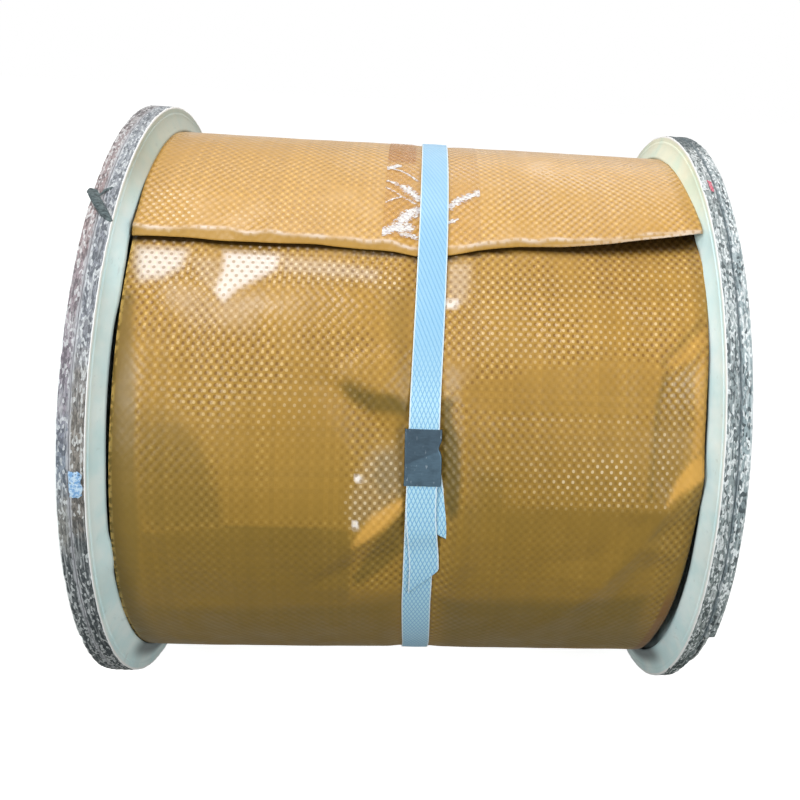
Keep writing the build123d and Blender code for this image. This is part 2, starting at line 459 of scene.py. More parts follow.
PICKS_ROUND = 2 * round(math.pi * sheet_outside / MM / 2.54)
PICK_WIDTH_MM = 2 * math.pi * sheet_outside / MM / PICKS_ROUND
TAPE_WIDTH_MM = 2.2
SHEET_ZONES = ("pressed", "painted_sheen", "painted_low_shade", "painted_crown_highlights", "shaded", "lit", "cut", "stained", "painted_gap_shadow")


def woven_wrap():
    """Ochre woven plastic: glossy flat tapes, smudged or pressed smooth in places, with painted highlights,
    sheen, light and shade over the weave and set patches, painted shade low on the front and a painted shadow
    under the flap.
    """
    material, bench, spot = reel_material("woven_wrap", Specular_IOR_Level=0.42)
    weave = bench.group("plain_weave", Along=spot["Along"], Around=spot["Around"],
                        Tape_width=TAPE_WIDTH_MM, Pick_width=PICK_WIDTH_MM).outputs
    marks = bench.group("handling_marks", Place=spot["Place"], Smudge_size=55.0).outputs
    zone = {name: bench.painted(name) for name in SHEET_ZONES}
    cloud = bench.noise(spot["Place"], 26.0, 2.0, 0.5)
    relief = bench.times(bench.minus(1.0, bench.times(zone["pressed"], 0.85)),
                         bench.ramp(cloud, 0.32, 0.6, 0.4, 1.0))
    # Painted highlight on the raised crossings of the weave and painted shade in the sunk ones.
    shine = bench.times(weave["Raised"], bench.ramp(weave["Column"], 0.3, 0.9, 0.45, 1.0))
    tapes = bench.tint(bench.times(shine, relief), rgb(178, 134, 55), rgb(220, 178, 98))
    dots = bench.times(weave["Sunk"], bench.times(relief, 0.85))
    tapes = bench.tint(dots, tapes, rgb(128, 86, 24))
    shade = bench.times(bench.ramp(weave["Column"], 0.0, 1.0, 0.955, 1.045),
                        bench.ramp(weave["Row"], 0.0, 1.0, 0.965, 1.035))
    tapes = bench.tint(1.0, tapes, shade, "MULTIPLY")
    tapes = bench.cover(tapes, marks["Smudges"], 0.16, rgb(134, 92, 26))
    # Painted shade low on the front of the sheet.
    tapes = bench.cover(tapes, zone["painted_low_shade"], 0.44, rgb(110, 90, 16))
    # Painted shade in the dents and on the flap's hem.
    tapes = bench.cover(tapes, zone["shaded"], 0.8, rgb(82, 70, 14))
    # Painted light on bright folds and over the flap.
    tapes = bench.cover(tapes, zone["lit"], 0.7, rgb(250, 188, 92))
    cut = bench.times(zone["cut"], bench.ramp(bench.noise(spot["Unrolled"], 2.2, 1.0), 0.42, 0.56))
    tapes = bench.cover(tapes, cut, 0.85, rgb(250, 206, 116))
    # Painted sheen: pale patches and glints where the lamp would reflect.
    crown = bench.ramp(weave["Sunk"], 0.0, 0.8, 1.0, 0.45)
    tapes = bench.cover(tapes, zone["painted_sheen"], crown, rgb(246, 234, 226))
    # Painted highlights on the crowns of the weave.
    patchy = bench.ramp(bench.noise(spot["Place"], 9.0, 3.0, 0.6), 0.36, 0.6, 0.3, 0.85)
    glints = bench.times(bench.times(zone["painted_crown_highlights"], bench.ramp(weave["Raised"], 0.0, 0.9)), patchy)
    tapes = bench.tint(glints, tapes, rgb(240, 220, 186))
    tapes = bench.cover(tapes, zone["stained"], 0.6, rgb(112, 62, 26))
    # Painted shadow in the gap under the flap's edge.
    tapes = bench.cover(tapes, zone["painted_gap_shadow"], 0.93, rgb(38, 22, 8))
    bench.finish(Base_Color=tapes)
    polish = bench.noise(spot["Place"], 18.0, 3.0, 0.6)
    # Rougher where the painted shade lies.
    worn = bench.times(bench.math("MAXIMUM", zone["shaded"], zone["painted_low_shade"]), 0.16)
    bench.finish(Roughness=bench.plus(bench.ramp(polish, 0.3, 0.7, 0.27, 0.4), worn))
    ripples = bench.bump(bench.noise(spot["Place"], 7.0, 3.0, 0.55), 0.4, 0.5)
    height = bench.times(weave["Height"], bench.math("MULTIPLY_ADD", relief, 0.85, 0.15))
    bench.finish(Normal=bench.bump(height, 0.2, 0.9, ripples))
    return material


def pale_facing():
    """The flanges' inner faces: pale blue-green paper facing, a little smudged, with painted shade over the
    top and a painted shadow low down under the sheet, bare and white at the rim.
    """
    material, bench, spot = reel_material("pale_facing", Specular_IOR_Level=0.45)
    marks = bench.group("handling_marks", Place=spot["Place"], Smudge_size=30.0).outputs
    cloud = bench.noise(spot["Place"], 25.0, 3.0, 0.6)
    colour = bench.tint(bench.ramp(cloud, 0.35, 0.65), rgb(222, 248, 250), rgb(242, 255, 254))
    colour = bench.cover(colour, marks["Smudges"], 0.2, rgb(206, 214, 210))
    colour = bench.cover(colour, marks["Scuffs"], 0.25, rgb(186, 200, 200))
    # Painted shade over the top of the faces, much stronger on the left flange than on the right.
    side = bench.ramp(spot["Along"], -1.0, 1.0)
    painted_top_shade = bench.tint(side, rgb(206, 198, 184), rgb(255, 244, 222))
    colour = bench.tint(bench.ramp(spot["Rise"], 46.0, 68.0), colour, painted_top_shade, "MULTIPLY")
    # Painted shadow low down where the sheet hangs over the face.
    low = bench.times(bench.ramp(spot["Rise"], -43.0, -52.0),
                      bench.ramp(spot["Out"], 156.0, 149.0))
    colour = bench.cover(colour, low, 0.85, rgb(84, 88, 90))
    bare = bench.ramp(spot["Out"], flange_radius / MM - 1.5, flange_radius / MM - 0.9)
    colour = bench.tint(bare, colour, rgb(255, 255, 255))
    bench.finish(Base_Color=colour)
    bench.finish(Roughness=bench.ramp(cloud, 0.3, 0.7, 0.42, 0.58))
    fibres = bench.noise(bench.stretch(spot["Place"], (1.0, 1.0, 0.4)), 0.9, 3.0, 0.6)
    bench.finish(Normal=bench.bump(fibres, 0.06, 0.6))
    return material


def weathered_face():
    """The flanges' outer faces: weathered grey-brown board with an upright grain."""
    material, bench, spot = reel_material("weathered_face", Specular_IOR_Level=0.25)
    marks = bench.group("handling_marks", Place=spot["Place"], Smudge_size=60.0).outputs
    upright = bench.stretch(spot["Place"], (1.0, 1.0, 0.07))
    growth = bench.noise(upright, 9.0, 4.0, 0.6, 0.6)
    lines = bench.math("SINE", bench.times(growth, 70.0))
    fine = bench.noise(upright, 1.1, 4.0, 0.7)
    colour = bench.tint(bench.ramp(lines, -1.0, 1.0), rgb(150, 128, 104), rgb(178, 158, 132))
    colour = bench.tint(bench.ramp(fine, 0.55, 0.8), colour, rgb(92, 76, 62))
    colour = bench.cover(colour, marks["Smudges"], 0.45, rgb(128, 122, 114))
    colour = bench.cover(colour, marks["Scuffs"], 0.5, rgb(84, 74, 66))
    bench.finish(Base_Color=colour)
    bench.finish(Roughness=bench.ramp(fine, 0.3, 0.7, 0.7, 0.9))
    bench.finish(Normal=bench.bump(bench.plus(fine, growth), 0.5, 0.6))
    return material


def board_edge(name, grounds, contrast, joint, stain=None):
    """The cut rim of a pressed board: crumbs and torn plies drawn out along the rim, darker towards the
    bottom.

    grounds gives (angle, red, green, blue) from the top to the bottom of the front, contrast how far the
    crumbs differ from that ground, and joint the colour packed into the joint between the two boards."""
    material, bench, spot = reel_material(name, Roughness=0.85, Specular_IOR_Level=0.2)
    around = spot["Rise"]
    wander = bench.math("MULTIPLY_ADD", bench.noise(spot["Place"], 9.0, 3.0, 0.6), 16.0, -8.0)
    place = bench.plus(around, wander)
    ground = rgb(*grounds[0][1:])
    for (start, *_), (end, *shade) in zip(grounds, grounds[1:]):
        ground = bench.tint(bench.ramp(place, float(start), float(end)), ground, rgb(*shade))
    pale = bench.tint(contrast, ground, rgb(252, 254, 255))
    dark = bench.tint(contrast, ground, rgb(22, 30, 36))
    drawn = bench.stretch(spot["Unrolled"], (1.0, 0.42, 0.5))
    crumbs = bench.group("pressed_crumbs", Place=drawn, Crumb_size=0.75, Ground=ground, Pale_crumbs=pale,
                         Dark_crumbs=dark, Pale_share=0.3, Dark_share=0.24, Patches=0.5).outputs
    plies = bench.noise(bench.stretch(spot["Unrolled"], (1.0, 0.07, 0.0)), 1.1, 3.0, 0.6)
    colour = bench.cover(crumbs["Colour"], bench.ramp(plies, 0.5, 0.66), 0.55, pale)
    colour = bench.cover(colour, bench.ramp(plies, 0.48, 0.34), 0.5, dark)
    if stain:
        middle, spread = (stain[0] + stain[1]) / 2, (stain[1] - stain[0]) / 2
        away = bench.apart(around, middle)
        brushed = bench.noise(bench.stretch(spot["Place"], (1.0, 0.5, 1.0)), 2.2, 4.0, 0.75)
        ragged = bench.math("MULTIPLY_ADD", brushed, spread * 3.2, away)
        stained = bench.ramp(ragged, spread * 2.75, spread * 2.1)
        colour = bench.cover(colour, stained, 0.85, rgb(86, 96, 100))
    from_joint = bench.apart(bench.math("ABSOLUTE", spot["Along"]), board_joint / MM)
    packed = bench.ramp(bench.math("MULTIPLY_ADD", crumbs["Height"], 1.2, from_joint), 2.1, 1.1)
    colour = bench.cover(colour, packed, 0.75, joint)
    rim_line = bench.ramp(bench.apart(bench.math("ABSOLUTE", spot["Along"]), outside_face / MM), 1.1, 0.5)
    colour = bench.cover(colour, rim_line, 0.6, rgb(236, 240, 240))
    bench.finish(Base_Color=colour)
    bench.finish(Normal=bench.bump(crumbs["Height"], 0.7, 0.8))
    return material


def wound_board():
    """The barrel: wound brown paper board with the slanting seam of its plies."""
    material, bench, spot = reel_material("wound_board", Specular_IOR_Level=0.25)
    slant = bench.plus(spot["Along"], bench.times(spot["Around"], 0.35))
    seam = bench.ramp(bench.math("PINGPONG", slant, 60.0), 0.0, 0.8, 1.0, 0.0)
    fibres = bench.noise(bench.stretch(spot["Place"], (0.3, 1.0, 1.0)), 1.4, 4.0, 0.6)
    colour = bench.tint(fibres, rgb(150, 118, 84), rgb(182, 150, 112))
    colour = bench.cover(colour, seam, 0.6, rgb(96, 72, 50))
    bench.finish(Base_Color=colour)
    bench.finish(Roughness=bench.ramp(fibres, 0.2, 0.8, 0.7, 0.9))
    bench.finish(Normal=bench.bump(fibres, 0.2, 0.6))
    return material


def coated_rope():
    """Black plastic coat over the rope: the strands beneath show as a slight slanting ripple."""
    material, bench, spot = reel_material("coated_rope", Specular_IOR_Level=0.25)
    slant = bench.plus(bench.times(spot["Along"], 1.2), spot["Around"])
    strands = bench.ramp(bench.math("SINE", bench.times(slant, 2 * math.pi / 3.4)), -1.0, 0.4)
    dust = bench.noise(spot["Place"], 3.0, 4.0, 0.7)
    colour = bench.tint(bench.ramp(dust, 0.45, 0.8), rgb(7, 7, 8), rgb(22, 21, 20))
    bench.finish(Base_Color=colour)
    bench.finish(Roughness=bench.ramp(dust, 0.3, 0.7, 0.4, 0.6))
    bench.finish(Normal=bench.bump(strands, 0.12, 0.5))
    return material


def strap_plastic(name, body, raised):
    """Pale blue strap plastic, pressed with a diamond pattern that whitens its raised middles, that whitening
    strengthened down the front as painted light.
    """
    material, bench, spot = reel_material(name, Specular_IOR_Level=0.5)
    slants = []
    for lean in (1.0, -1.0):
        line = bench.plus(bench.times(spot["Along"], lean), bench.times(spot["Around"], 0.42))
        slants.append(bench.math("ABSOLUTE", bench.math("SINE", bench.times(line, math.pi / 1.95))))
    # The pressed whitening grows down the front: painted light.
    front = bench.ramp(spot["Rise"], 40.0, 6.0)
    faint = bench.ramp(front, 0.0, 1.0, 0.55, 0.0)
    press = bench.math("MINIMUM", slants[0], bench.math("MAXIMUM", slants[1], faint))
    haze = bench.noise(spot["Place"], 16.0, 3.0, 0.6)
    pressed_white_and_painted_light = bench.times(bench.ramp(press, 0.12, 0.6), bench.ramp(front, 0.0, 1.0, 0.35, 1.0))
    colour = bench.tint(pressed_white_and_painted_light, body, raised)
    colour = bench.cover(colour, haze, 0.2, rgb(156, 190, 216))
    bench.finish(Base_Color=colour)
    bench.finish(Roughness=bench.ramp(haze, 0.3, 0.7, 0.36, 0.5))
    bench.finish(Normal=bench.bump(bench.ramp(press, 0.0, 0.6), 0.12, 0.8))
    return material


def seal_steel():
    """Dark blued strip steel with fine rolling lines and scuffed spots."""
    material, bench, spot = reel_material("seal_steel", Metallic=0.75)
    rolled = bench.noise(bench.stretch(spot["Place"], (0.25, 1.0, 1.0)), 0.7, 3.0, 0.6)
    marks = bench.group("handling_marks", Place=spot["Place"], Smudge_size=7.0).outputs
    colour = bench.tint(rolled, rgb(67, 87, 101), rgb(88, 110, 125))
    colour = bench.cover(colour, marks["Smudges"], 0.35, rgb(44, 54, 64))
    colour = bench.cover(colour, marks["Scuffs"], 0.5, rgb(170, 182, 192))
    fold = bench.minus(spot["Around"], bench.times(spot["Along"], 0.42))
    above = bench.ramp(fold, 18.2, 19.4)
    colour = bench.cover(colour, above, 0.45, rgb(50, 60, 70))
    bench.finish(Base_Color=colour)
    bench.finish(Roughness=bench.ramp(rolled, 0.3, 0.7, 0.4, 0.56))
    bench.finish(Normal=bench.bump(rolled, 0.05, 0.5))
    return material


def bright_zinc():
    """Zinc-plated bolts and nuts, slightly cloudy."""
    material, bench, spot = reel_material("bright_zinc", Metallic=1.0)
    cloud = bench.noise(spot["Place"], 4.0, 4.0, 0.6)
    bench.finish(Base_Color=bench.tint(cloud, rgb(150, 154, 158), rgb(196, 200, 202)))
    bench.finish(Roughness=bench.ramp(cloud, 0.3, 0.7, 0.3, 0.5))
    bench.finish(Normal=bench.bump(bench.noise(spot["Place"], 0.6, 2.0), 0.03, 0.5))
    return material


def clear_film():
    """Clear packing tape: nearly unseen where it lies flat, with painted highlights as white glint streaks
    where it wrinkles.
    """
    material, bench, spot = reel_material("clear_film", Specular_IOR_Level=0.4, Roughness=0.22)
    # Painted highlights: opaque white glint streaks with a painted reflection tint.
    painted_glints = bench.painted("painted_glints")
    flat = bench.painted("flat")
    pulled = bench.stretch(spot["Unrolled"], (0.5, 1.0, 0.0))
    bent = bench.noise(pulled, 1.25, 3.0, 0.6, 1.6)
    glint_streaks = bench.ramp(bench.math("MULTIPLY_ADD", bent, 2.4, painted_glints), 1.46, 1.92)
    white = bench.times(glint_streaks, bench.ramp(painted_glints, 0.05, 0.35))
    lilac = bench.ramp(bench.noise(pulled, 0.9, 2.0), 0.35, 0.6)
    gloss = bench.tint(lilac, rgb(214, 204, 208), rgb(255, 253, 248))
    bench.finish(Base_Color=bench.tint(white, rgb(188, 112, 16), gloss))
    clear = bench.ramp(flat, 0.0, 1.0, 0.05, 0.34)
    bench.finish(Alpha=bench.math("MAXIMUM", clear, bench.times(white, 0.9)))
    bench.finish(Normal=bench.bump(bent, 0.7, 0.8))
    return material


def torn_scrap():
    """Dark grey-green rag of torn strapping on the rim."""
    material, bench, spot = reel_material("torn_scrap", Specular_IOR_Level=0.3)
    threads = bench.noise(bench.stretch(spot["Place"], (0.3, 1.0, 1.0)), 0.9, 4.0, 0.7)
    bench.finish(Base_Color=bench.tint(bench.ramp(threads, 0.3, 0.7), rgb(42, 50, 52), rgb(112, 124, 126)))
    bench.finish(Roughness=bench.ramp(threads, 0.2, 0.8, 0.55, 0.85))
    bench.finish(Normal=bench.bump(threads, 0.4, 0.8))
    return material


def chipped_paint(name, shade, pale):
    """A dab of old paint with worn, uneven cover and dark chips."""
    material, bench, spot = reel_material(name, Specular_IOR_Level=0.4)
    worn = bench.noise(spot["Place"], 1.6, 4.0, 0.7)
    colour = bench.tint(bench.ramp(worn, 0.4, 0.6), shade, pale)
    chips = bench.ramp(bench.noise(spot["Place"], 1.1, 3.0, 0.7), 0.58, 0.66)
    bench.finish(Base_Color=bench.tint(bench.times(chips, 0.8), colour, rgb(58, 66, 76)))
    bench.finish(Roughness=bench.ramp(worn, 0.2, 0.8, 0.4, 0.7))
    bench.finish(Normal=bench.bump(worn, 0.2, 0.8))
    return material


facing = pale_facing()
outer_finish = weathered_face()
edges = {
    "left_inner": board_edge("left_inner_board_edge", [
        (90, 164, 168, 174), (30, 148, 150, 158), (12, 144, 137, 130), (-3, 128, 122, 116),
        (-9, 96, 100, 102), (-40, 66, 72, 74)], 0.46, rgb(206, 206, 210)),
    "left_outer": board_edge("left_outer_board_edge", [
        (90, 156, 152, 154), (50, 166, 148, 148), (22, 156, 146, 154), (5, 136, 144, 156),
        (-4, 140, 138, 134), (-12, 94, 98, 100), (-42, 70, 76, 78)], 0.46, rgb(206, 206, 210)),
    "right_inner": board_edge("right_inner_board_edge", [
        (90, 168, 174, 174), (20, 150, 160, 162), (-25, 128, 136, 134), (-50, 78, 90, 88)],
        0.62, rgb(120, 132, 138), (78, 100)),
    "right_outer": board_edge("right_outer_board_edge", [
        (90, 176, 184, 186), (20, 160, 174, 178), (-25, 132, 140, 140), (-50, 84, 96, 94)],
        0.72, rgb(120, 132, 138), (80, 96)),
}


# Flange boards

RIM_STEPS = 720
MIDDLE_RADIUS_MM = 135.0
FLAT_RADIUS_MM = 148.0
CHIP_START, CHIP_END, CHIP_DEPTH_MM = -27.0, -64.0, 5.0


def broken_depth(angle):
    """How far the right outer board's rim is broken away at each angle, in millimetres."""
    angle = turned_back(angle)
    inside = ease(angle, CHIP_END, CHIP_END + 9) * (1 - ease(angle, CHIP_START - 0.8, CHIP_START))
    return CHIP_DEPTH_MM * inside


def rim_ring(near_mm, far_mm, near_arris_mm, far_arris_mm, wear_seed, broken):
    """The board's outer ring with worn arrises and a rough rim: points in rows round the reel."""
    angles = np.arange(RIM_STEPS) * FULL_TURN / RIM_STEPS
    rim = flange_radius / MM
    thickness = far_mm - near_mm
    profile = [(0.0, MIDDLE_RADIUS_MM), (0.0, FLAT_RADIUS_MM), (0.0, rim - near_arris_mm)]
    profile += [(near_arris_mm * 0.3, rim - near_arris_mm * 0.3)]
    profile += [(depth, rim) for depth in np.linspace(near_arris_mm, thickness - far_arris_mm, 5)]
    profile += [(thickness - far_arris_mm * 0.3, rim - far_arris_mm * 0.3), (thickness, rim - far_arris_mm)]
    profile += [(thickness, FLAT_RADIUS_MM), (thickness, MIDDLE_RADIUS_MM)]
    depth, radius = (np.array(column)[None, :] for column in zip(*profile))
    turn = angles[:, None]
    x = near_mm + depth + 0 * turn
    edge = ease(radius, rim - 3.0, rim - 0.4)
    rough = 0.28 * noise_on_reel(x, turn, 2.4, wear_seed) + 0.22 * noise_on_reel(x, turn, 6.5, wear_seed + 7)
    nicks = np.clip(noise_on_reel(x, turn, 11.0, wear_seed + 19) - 0.42, 0, 1) * 4.0
    out = radius + edge * (rough - nicks - 0.25)
    if broken:
        bite = broken_depth(turn) + 0.6 * noise_on_reel(x, turn, 4.0, 3.3) * (broken_depth(turn) > 0.2)
        out = np.minimum(out, rim - np.maximum(bite, 0) + 0 * x)
    return on_reel(x, turn, out)


def disc_with_holes(near_mm, far_mm, holes):
    """The board's plain middle, a flat plate with round holes."""
    outline = bpy.data.curves.new("board_middle", "CURVE")
    outline.dimensions = "2D"
    outline.fill_mode = "BOTH"
    outline.extrude = (far_mm - near_mm) / 2 * MM

    def ring(centre_y, centre_z, radius_mm, steps):
        spline = outline.splines.new("POLY")
        spline.points.add(steps - 1)
        for i, point in enumerate(spline.points):
            turn = i * 2 * math.pi / steps
            point.co = (centre_y - radius_mm * math.cos(turn) * MM,
                        centre_z + radius_mm * math.sin(turn) * MM, 0, 1)
        spline.use_cyclic_u = True

    ring(0, 0, MIDDLE_RADIUS_MM, RIM_STEPS)
    for angle, distance_mm, radius_mm in holes:
        turn = math.radians(angle)
        ring(-distance_mm * math.cos(turn) * MM, distance_mm * math.sin(turn) * MM, radius_mm, 48)
    holder = show("board_middle", outline)
    bpy.context.view_layer.update()
    plate = bpy.data.meshes.new_from_object(holder.evaluated_get(bpy.context.evaluated_depsgraph_get()))
    bpy.data.objects.remove(holder)
    middle = (near_mm + far_mm) / 2 * MM
    plate.transform(Matrix(((0, 0, 1, middle), (1, 0, 0, 0), (0, 1, 0, axis_height), (0, 0, 0, 1))))
    return plate


def flange_board(name, near_mm, far_mm, near_arris_mm, far_arris_mm, holes, side, finishes, seed):
    """A round board made of its rough rim ring and its plain middle with holes."""
    work = bmesh.new()
    ring = grid_mesh("rim", rim_ring(near_mm, far_mm, near_arris_mm, far_arris_mm, seed,
                                     broken=name == "right_outer_board"), closed_along=True)
    work.from_mesh(ring)
    work.from_mesh(disc_with_holes(near_mm, far_mm, holes))
    bmesh.ops.remove_doubles(work, verts=work.verts, dist=0.02 * MM)
    if side < 0:
        bmesh.ops.scale(work, vec=(-1, 1, 1), verts=work.verts)
    seam = MIDDLE_RADIUS_MM * MM
    work.normal_update()
    wall = [f for f in work.faces if abs(f.normal.x) < 0.5
            and all(abs(math.hypot(v.co.y, v.co.z - axis_height) - seam) < MM / 10 for v in f.verts)]
    bmesh.ops.delete(work, geom=wall, context="FACES")
    bmesh.ops.recalc_face_normals(work, faces=work.faces)
    for face in work.faces:
        depth = abs(face.calc_center_median().x) / MM
        if depth < face_mm + 0.45:
            face.material_index = 1
        elif depth > out_mm - 0.05:
            face.material_index = 2
        elif depth > out_mm - 0.8 and side < 0:
            face.material_index = 1
    mesh = bpy.data.meshes.new(name)
    work.to_mesh(mesh)
    work.free()
    smooth(mesh, 50)
    return piece(name + "_worn", mesh, finishes, [name])


arbor = (0.0, 0.0, ARBOR_RADIUS_MM)
bolt_holes = [arbor] + [(a, BOLT_CIRCLE_RADIUS_MM, BOLT_HOLE_RADIUS_MM) for a in BOLT_ANGLES]
pockets = [arbor] + [(a, BOLT_CIRCLE_RADIUS_MM, POCKET_RADIUS_MM) for a in BOLT_ANGLES]
face_mm, joint_mm, out_mm = inside_face / MM, board_joint / MM, outside_face / MM
for side, hand, seed in ((-1, "left", 1.0), (1, "right", 40.0)):
    flange_board(hand + "_inner_board", face_mm, joint_mm, 0.5, 1.0, bolt_holes, side,
                 [edges[hand + "_inner"], facing, outer_finish], seed)
    flange_board(hand + "_outer_board", joint_mm, out_mm, 1.4, 0.9, pockets, side,
                 [edges[hand + "_outer"], facing, outer_finish], seed + 11)


# Rope winding

def winding_profile():
    """Outline of the wound rope from bore to bore: its outer layers end a little short of the flanges."""
    radius = ROPE_DIAMETER_MM / 2
    pitch = ROPE_DIAMETER_MM * math.sin(math.radians(60))
    half = winding_half / MM
    top = winding_radius / MM - radius
    layers = [top - pitch * i for i in range(len(SHORT_OF_FLANGE_MM))]
    end = [(half - radius, layers[-1] - radius)]
    for i, middle in reversed(list(enumerate(layers))):
        sweep = np.radians(np.linspace(-60, 60 if i else 90, 7 if i else 9))
        outermost = half - SHORT_OF_FLANGE_MM[i] - radius
        end += [(outermost + radius * math.cos(a), middle + radius * math.sin(a)) for a in sweep]
    reach = half - 2 * radius
    crests = []
    for i in range(1, TURNS_ACROSS):
        centre = reach - 2 * reach * i / TURNS_ACROSS
        crests += [(centre + radius * math.cos(a), top - OUTER_TURNS_SUNK_MM + radius * math.sin(a))
                   for a in np.radians((40, 90, 140))]
    return end + crests + [(-x, r) for x, r in reversed(end)]


def make_winding():
    """The wound rope, turned about the axis."""
    x, out = (np.array(column) for column in zip(*winding_profile()))
    rows = [on_reel(x, angle, out) for angle in np.arange(0, FULL_TURN, 2.5)]
    turned = grid_mesh("winding_rows", np.array(rows), closed_across=True, closed_along=True)
    mesh = closed_body("rope_winding_turns", [turned], fill_ends=False)
    smooth(mesh, 60)
    piece("rope_winding_turns", mesh, coated_rope(), ["rope_winding"])


make_winding()


# Woven sheet

# The strap's middle down the front: (angle, along)
STRAP_PATH = [(116.0, 5.6), (54.0, 5.4), (37.0, 5.0), (18.0, 4.4), (0.0, 4.5), (-25.0, 4.9), (-45.0, 6.4),
              (-75.0, 6.4)]


def strap_middle(angle):
    """Where the strap's middle lies along the reel at an angle: it wanders a little down the front."""
    return between(turned_back(np.asarray(angle, float)), STRAP_PATH)


def from_strap(x_mm, angle):
    """Distance from the strap's nearer edge, 0 under it."""
    return np.maximum(np.abs(x_mm - strap_middle(angle)) - STRAP_WIDTH_MM / 2, 0)


# Creases of the slack sheet down the front, each a line of (along, angle, height off the winding)
CREASES = [
    # the sheet's edges and where the strap presses it down
    [(-138, 56, 0), (-138, 30, 0), (-138, 0, 0), (-138, -30, 0), (-138, -64, 0)],
    [(142, 56, 0.4), (142, 38, 0.6), (142, 29, 0.2), (142, 8, 1.0), (142, -10, 0), (142, -35, 0),
     (142, -64, 0)],
    [(-2.5, 56, 0), (-3, 30, 0), (-4, 13, 0), (-4, 3, 0), (-3.5, -25, 0), (-2, -64, 0)],
    [(12.8, 56, 0), (12, 30, 0), (12.8, 14, 0), (13, 3, 0), (13, -25, 0), (15, -64, 0)],
    # left of the strap
    [(-126, 48, 0.8), (-124, 35, 1.8), (-123, 15, 2.2), (-122, -8.3, 2.4), (-124, -30, 1.7),
     (-126, -50, 0.8)],
    [(-131, 45, 0.3), (-108, 44.5, 0.3), (-98, 44, 1.4), (-88, 43.5, 0.3), (-56, 44.5, 0.3),
     (-40, 43, 1.0)],
    [(-118, 33, 2.6), (-100, 33.5, 1.8), (-88.7, 31.5, 3.0), (-58, 35, 2.6), (-30, 36, 1.9),
     (-12, 34, 0.9)],
    [(-98, 44, 1.4), (-100, 33.5, 1.8)],
    [(-100, 15, 2.7), (-75.7, 12, 3.2), (-50, 20, 2.6), (-28, 27, 1.8)],
    [(-138, -9, 0.2), (-122, -8.3, 2.4), (-113, -7.8, 3.1), (-77, -6.3, 3.8), (-50, -5.8, 3.6),
     (-27.6, -5, 2.8)],
    [(-75.7, 12, 3.2), (-77, -6.3, 3.8), (-79, -24, 2.8), (-79.3, -47.2, 1.2)],
    [(-100, -22, 1.7), (-79, -24, 2.8), (-50, -20, 1.8), (-28, -26, 1.4)],
    [(-41, 22.8, 2.0), (-30, 22.2, 3.2), (-18, 19.8, 3.6), (-6, 18.8, 1.5)],
    [(-38, 20.4, 0.6), (-26, 16.6, -0.7), (-15, 12.8, -0.9), (-5.5, 12.8, -0.7)],
    [(-26, 16.6, -0.7), (-25.5, 7, 2.0), (-25, -9, 3.2)],
    [(-25, -9, 3.2), (-12, -5.4, 3.3), (-4, -1.4, 1.2)],
    [(-22, -13.5, 0.5), (-12, -13, -0.9), (-5, -11, -0.6)],
    [(-21, -20, 1.6), (-5, -22.5, 0.2)],
    # right of the strap
    [(20, 21.5, 2.4), (23.4, 12, 4.2), (23.3, -4.2, 4.4), (22.2, -13.2, 3.2), (21, -22, 1.2)],
    [(14, 17.5, 0.3), (20, 21.5, 2.4), (47.5, 22.7, 3.2), (66, 25.9, 3.6), (84.8, 26.9, 3.6),
     (103.8, 26.5, 3.3), (117.2, 23.7, 3.8), (137, 29.2, 2.8)],
    [(23.4, 12, 4.2), (40, 15, 2.4), (66.7, 15.4, 1.9), (104.3, 15.0, 2.1)],
    [(30, 34, 1.1), (60, 37, 1.1), (90, 38, 1.0), (104, 30, 1.6), (120, 32.8, 2.6), (135, 37.5, 2.2)],
    [(117.2, 23.7, 3.8), (106, 14, 2.1), (110, 6, 2.6), (119, -0.6, 4.6)],
    [(31.8, 0.6, 2.6), (60, 0, 3.4), (90, -0.4, 3.8), (108, -0.6, 4.3), (119, -0.6, 4.6), (128, 3.0, 4.3),
     (140, 8.4, 3.2)],
    [(124, 4.5, 2.2), (131, 9.0, 1.6), (140, 14.5, 0.8)],
    [(118, -5, 2.0), (128, -3.4, 1.2), (140, 1.4, 0.4)],
    [(119, -0.6, 4.6), (109.4, -7.6, 4.0), (93.5, -17.7, 3.6), (77, -27.3, 2.6), (62, -36, 1.2)],
    [(104, -3.8, 3.0), (88, -11, 1.6), (60, -14, 1.8), (36, -13, 1.7)],
    [(110, -14, 1.0), (100, -24, 0.8), (86, -34, 0.7)],
    [(133, -12, 0.9), (131, -30, 0.7), (126, -50, 0.4)],
    [(34, -26, 0.7), (46, -46, 0.6)],
]
CREASED_TOP, CREASED_BOTTOM = 56.0, -64.0
CREASE_DEPTH = 1.25
FLAP_LINE = 46.0


def crease_facets():
    """Flat facets between the creases: triangles of (along, round the reel) corners with their heights."""
    corners, creases = {}, []
    for line in CREASES:
        ends = [corners.setdefault((x, angle), (len(corners), height))[0] for x, angle, height in line]
        creases += list(zip(ends, ends[1:]))
    spots = [Vector((x, angle * MM_PER_DEGREE)) for x, angle in corners]
    heights = [height for _, height in corners.values()]
    found, _, triangles, source, _, _ = delaunay_2d_cdt(spots, creases, [], 0, 1e-4)
    level = []
    for spot, origin in zip(found, source):
        if origin:
            level.append(heights[origin[0]])
        else:
            nearest = sorted(range(len(spots)), key=lambda i: (spots[i] - spot).length)[:2]
            level.append(sum(heights[i] for i in nearest) / 2)
    return np.array([tuple(spot) for spot in found]), np.array(level), triangles


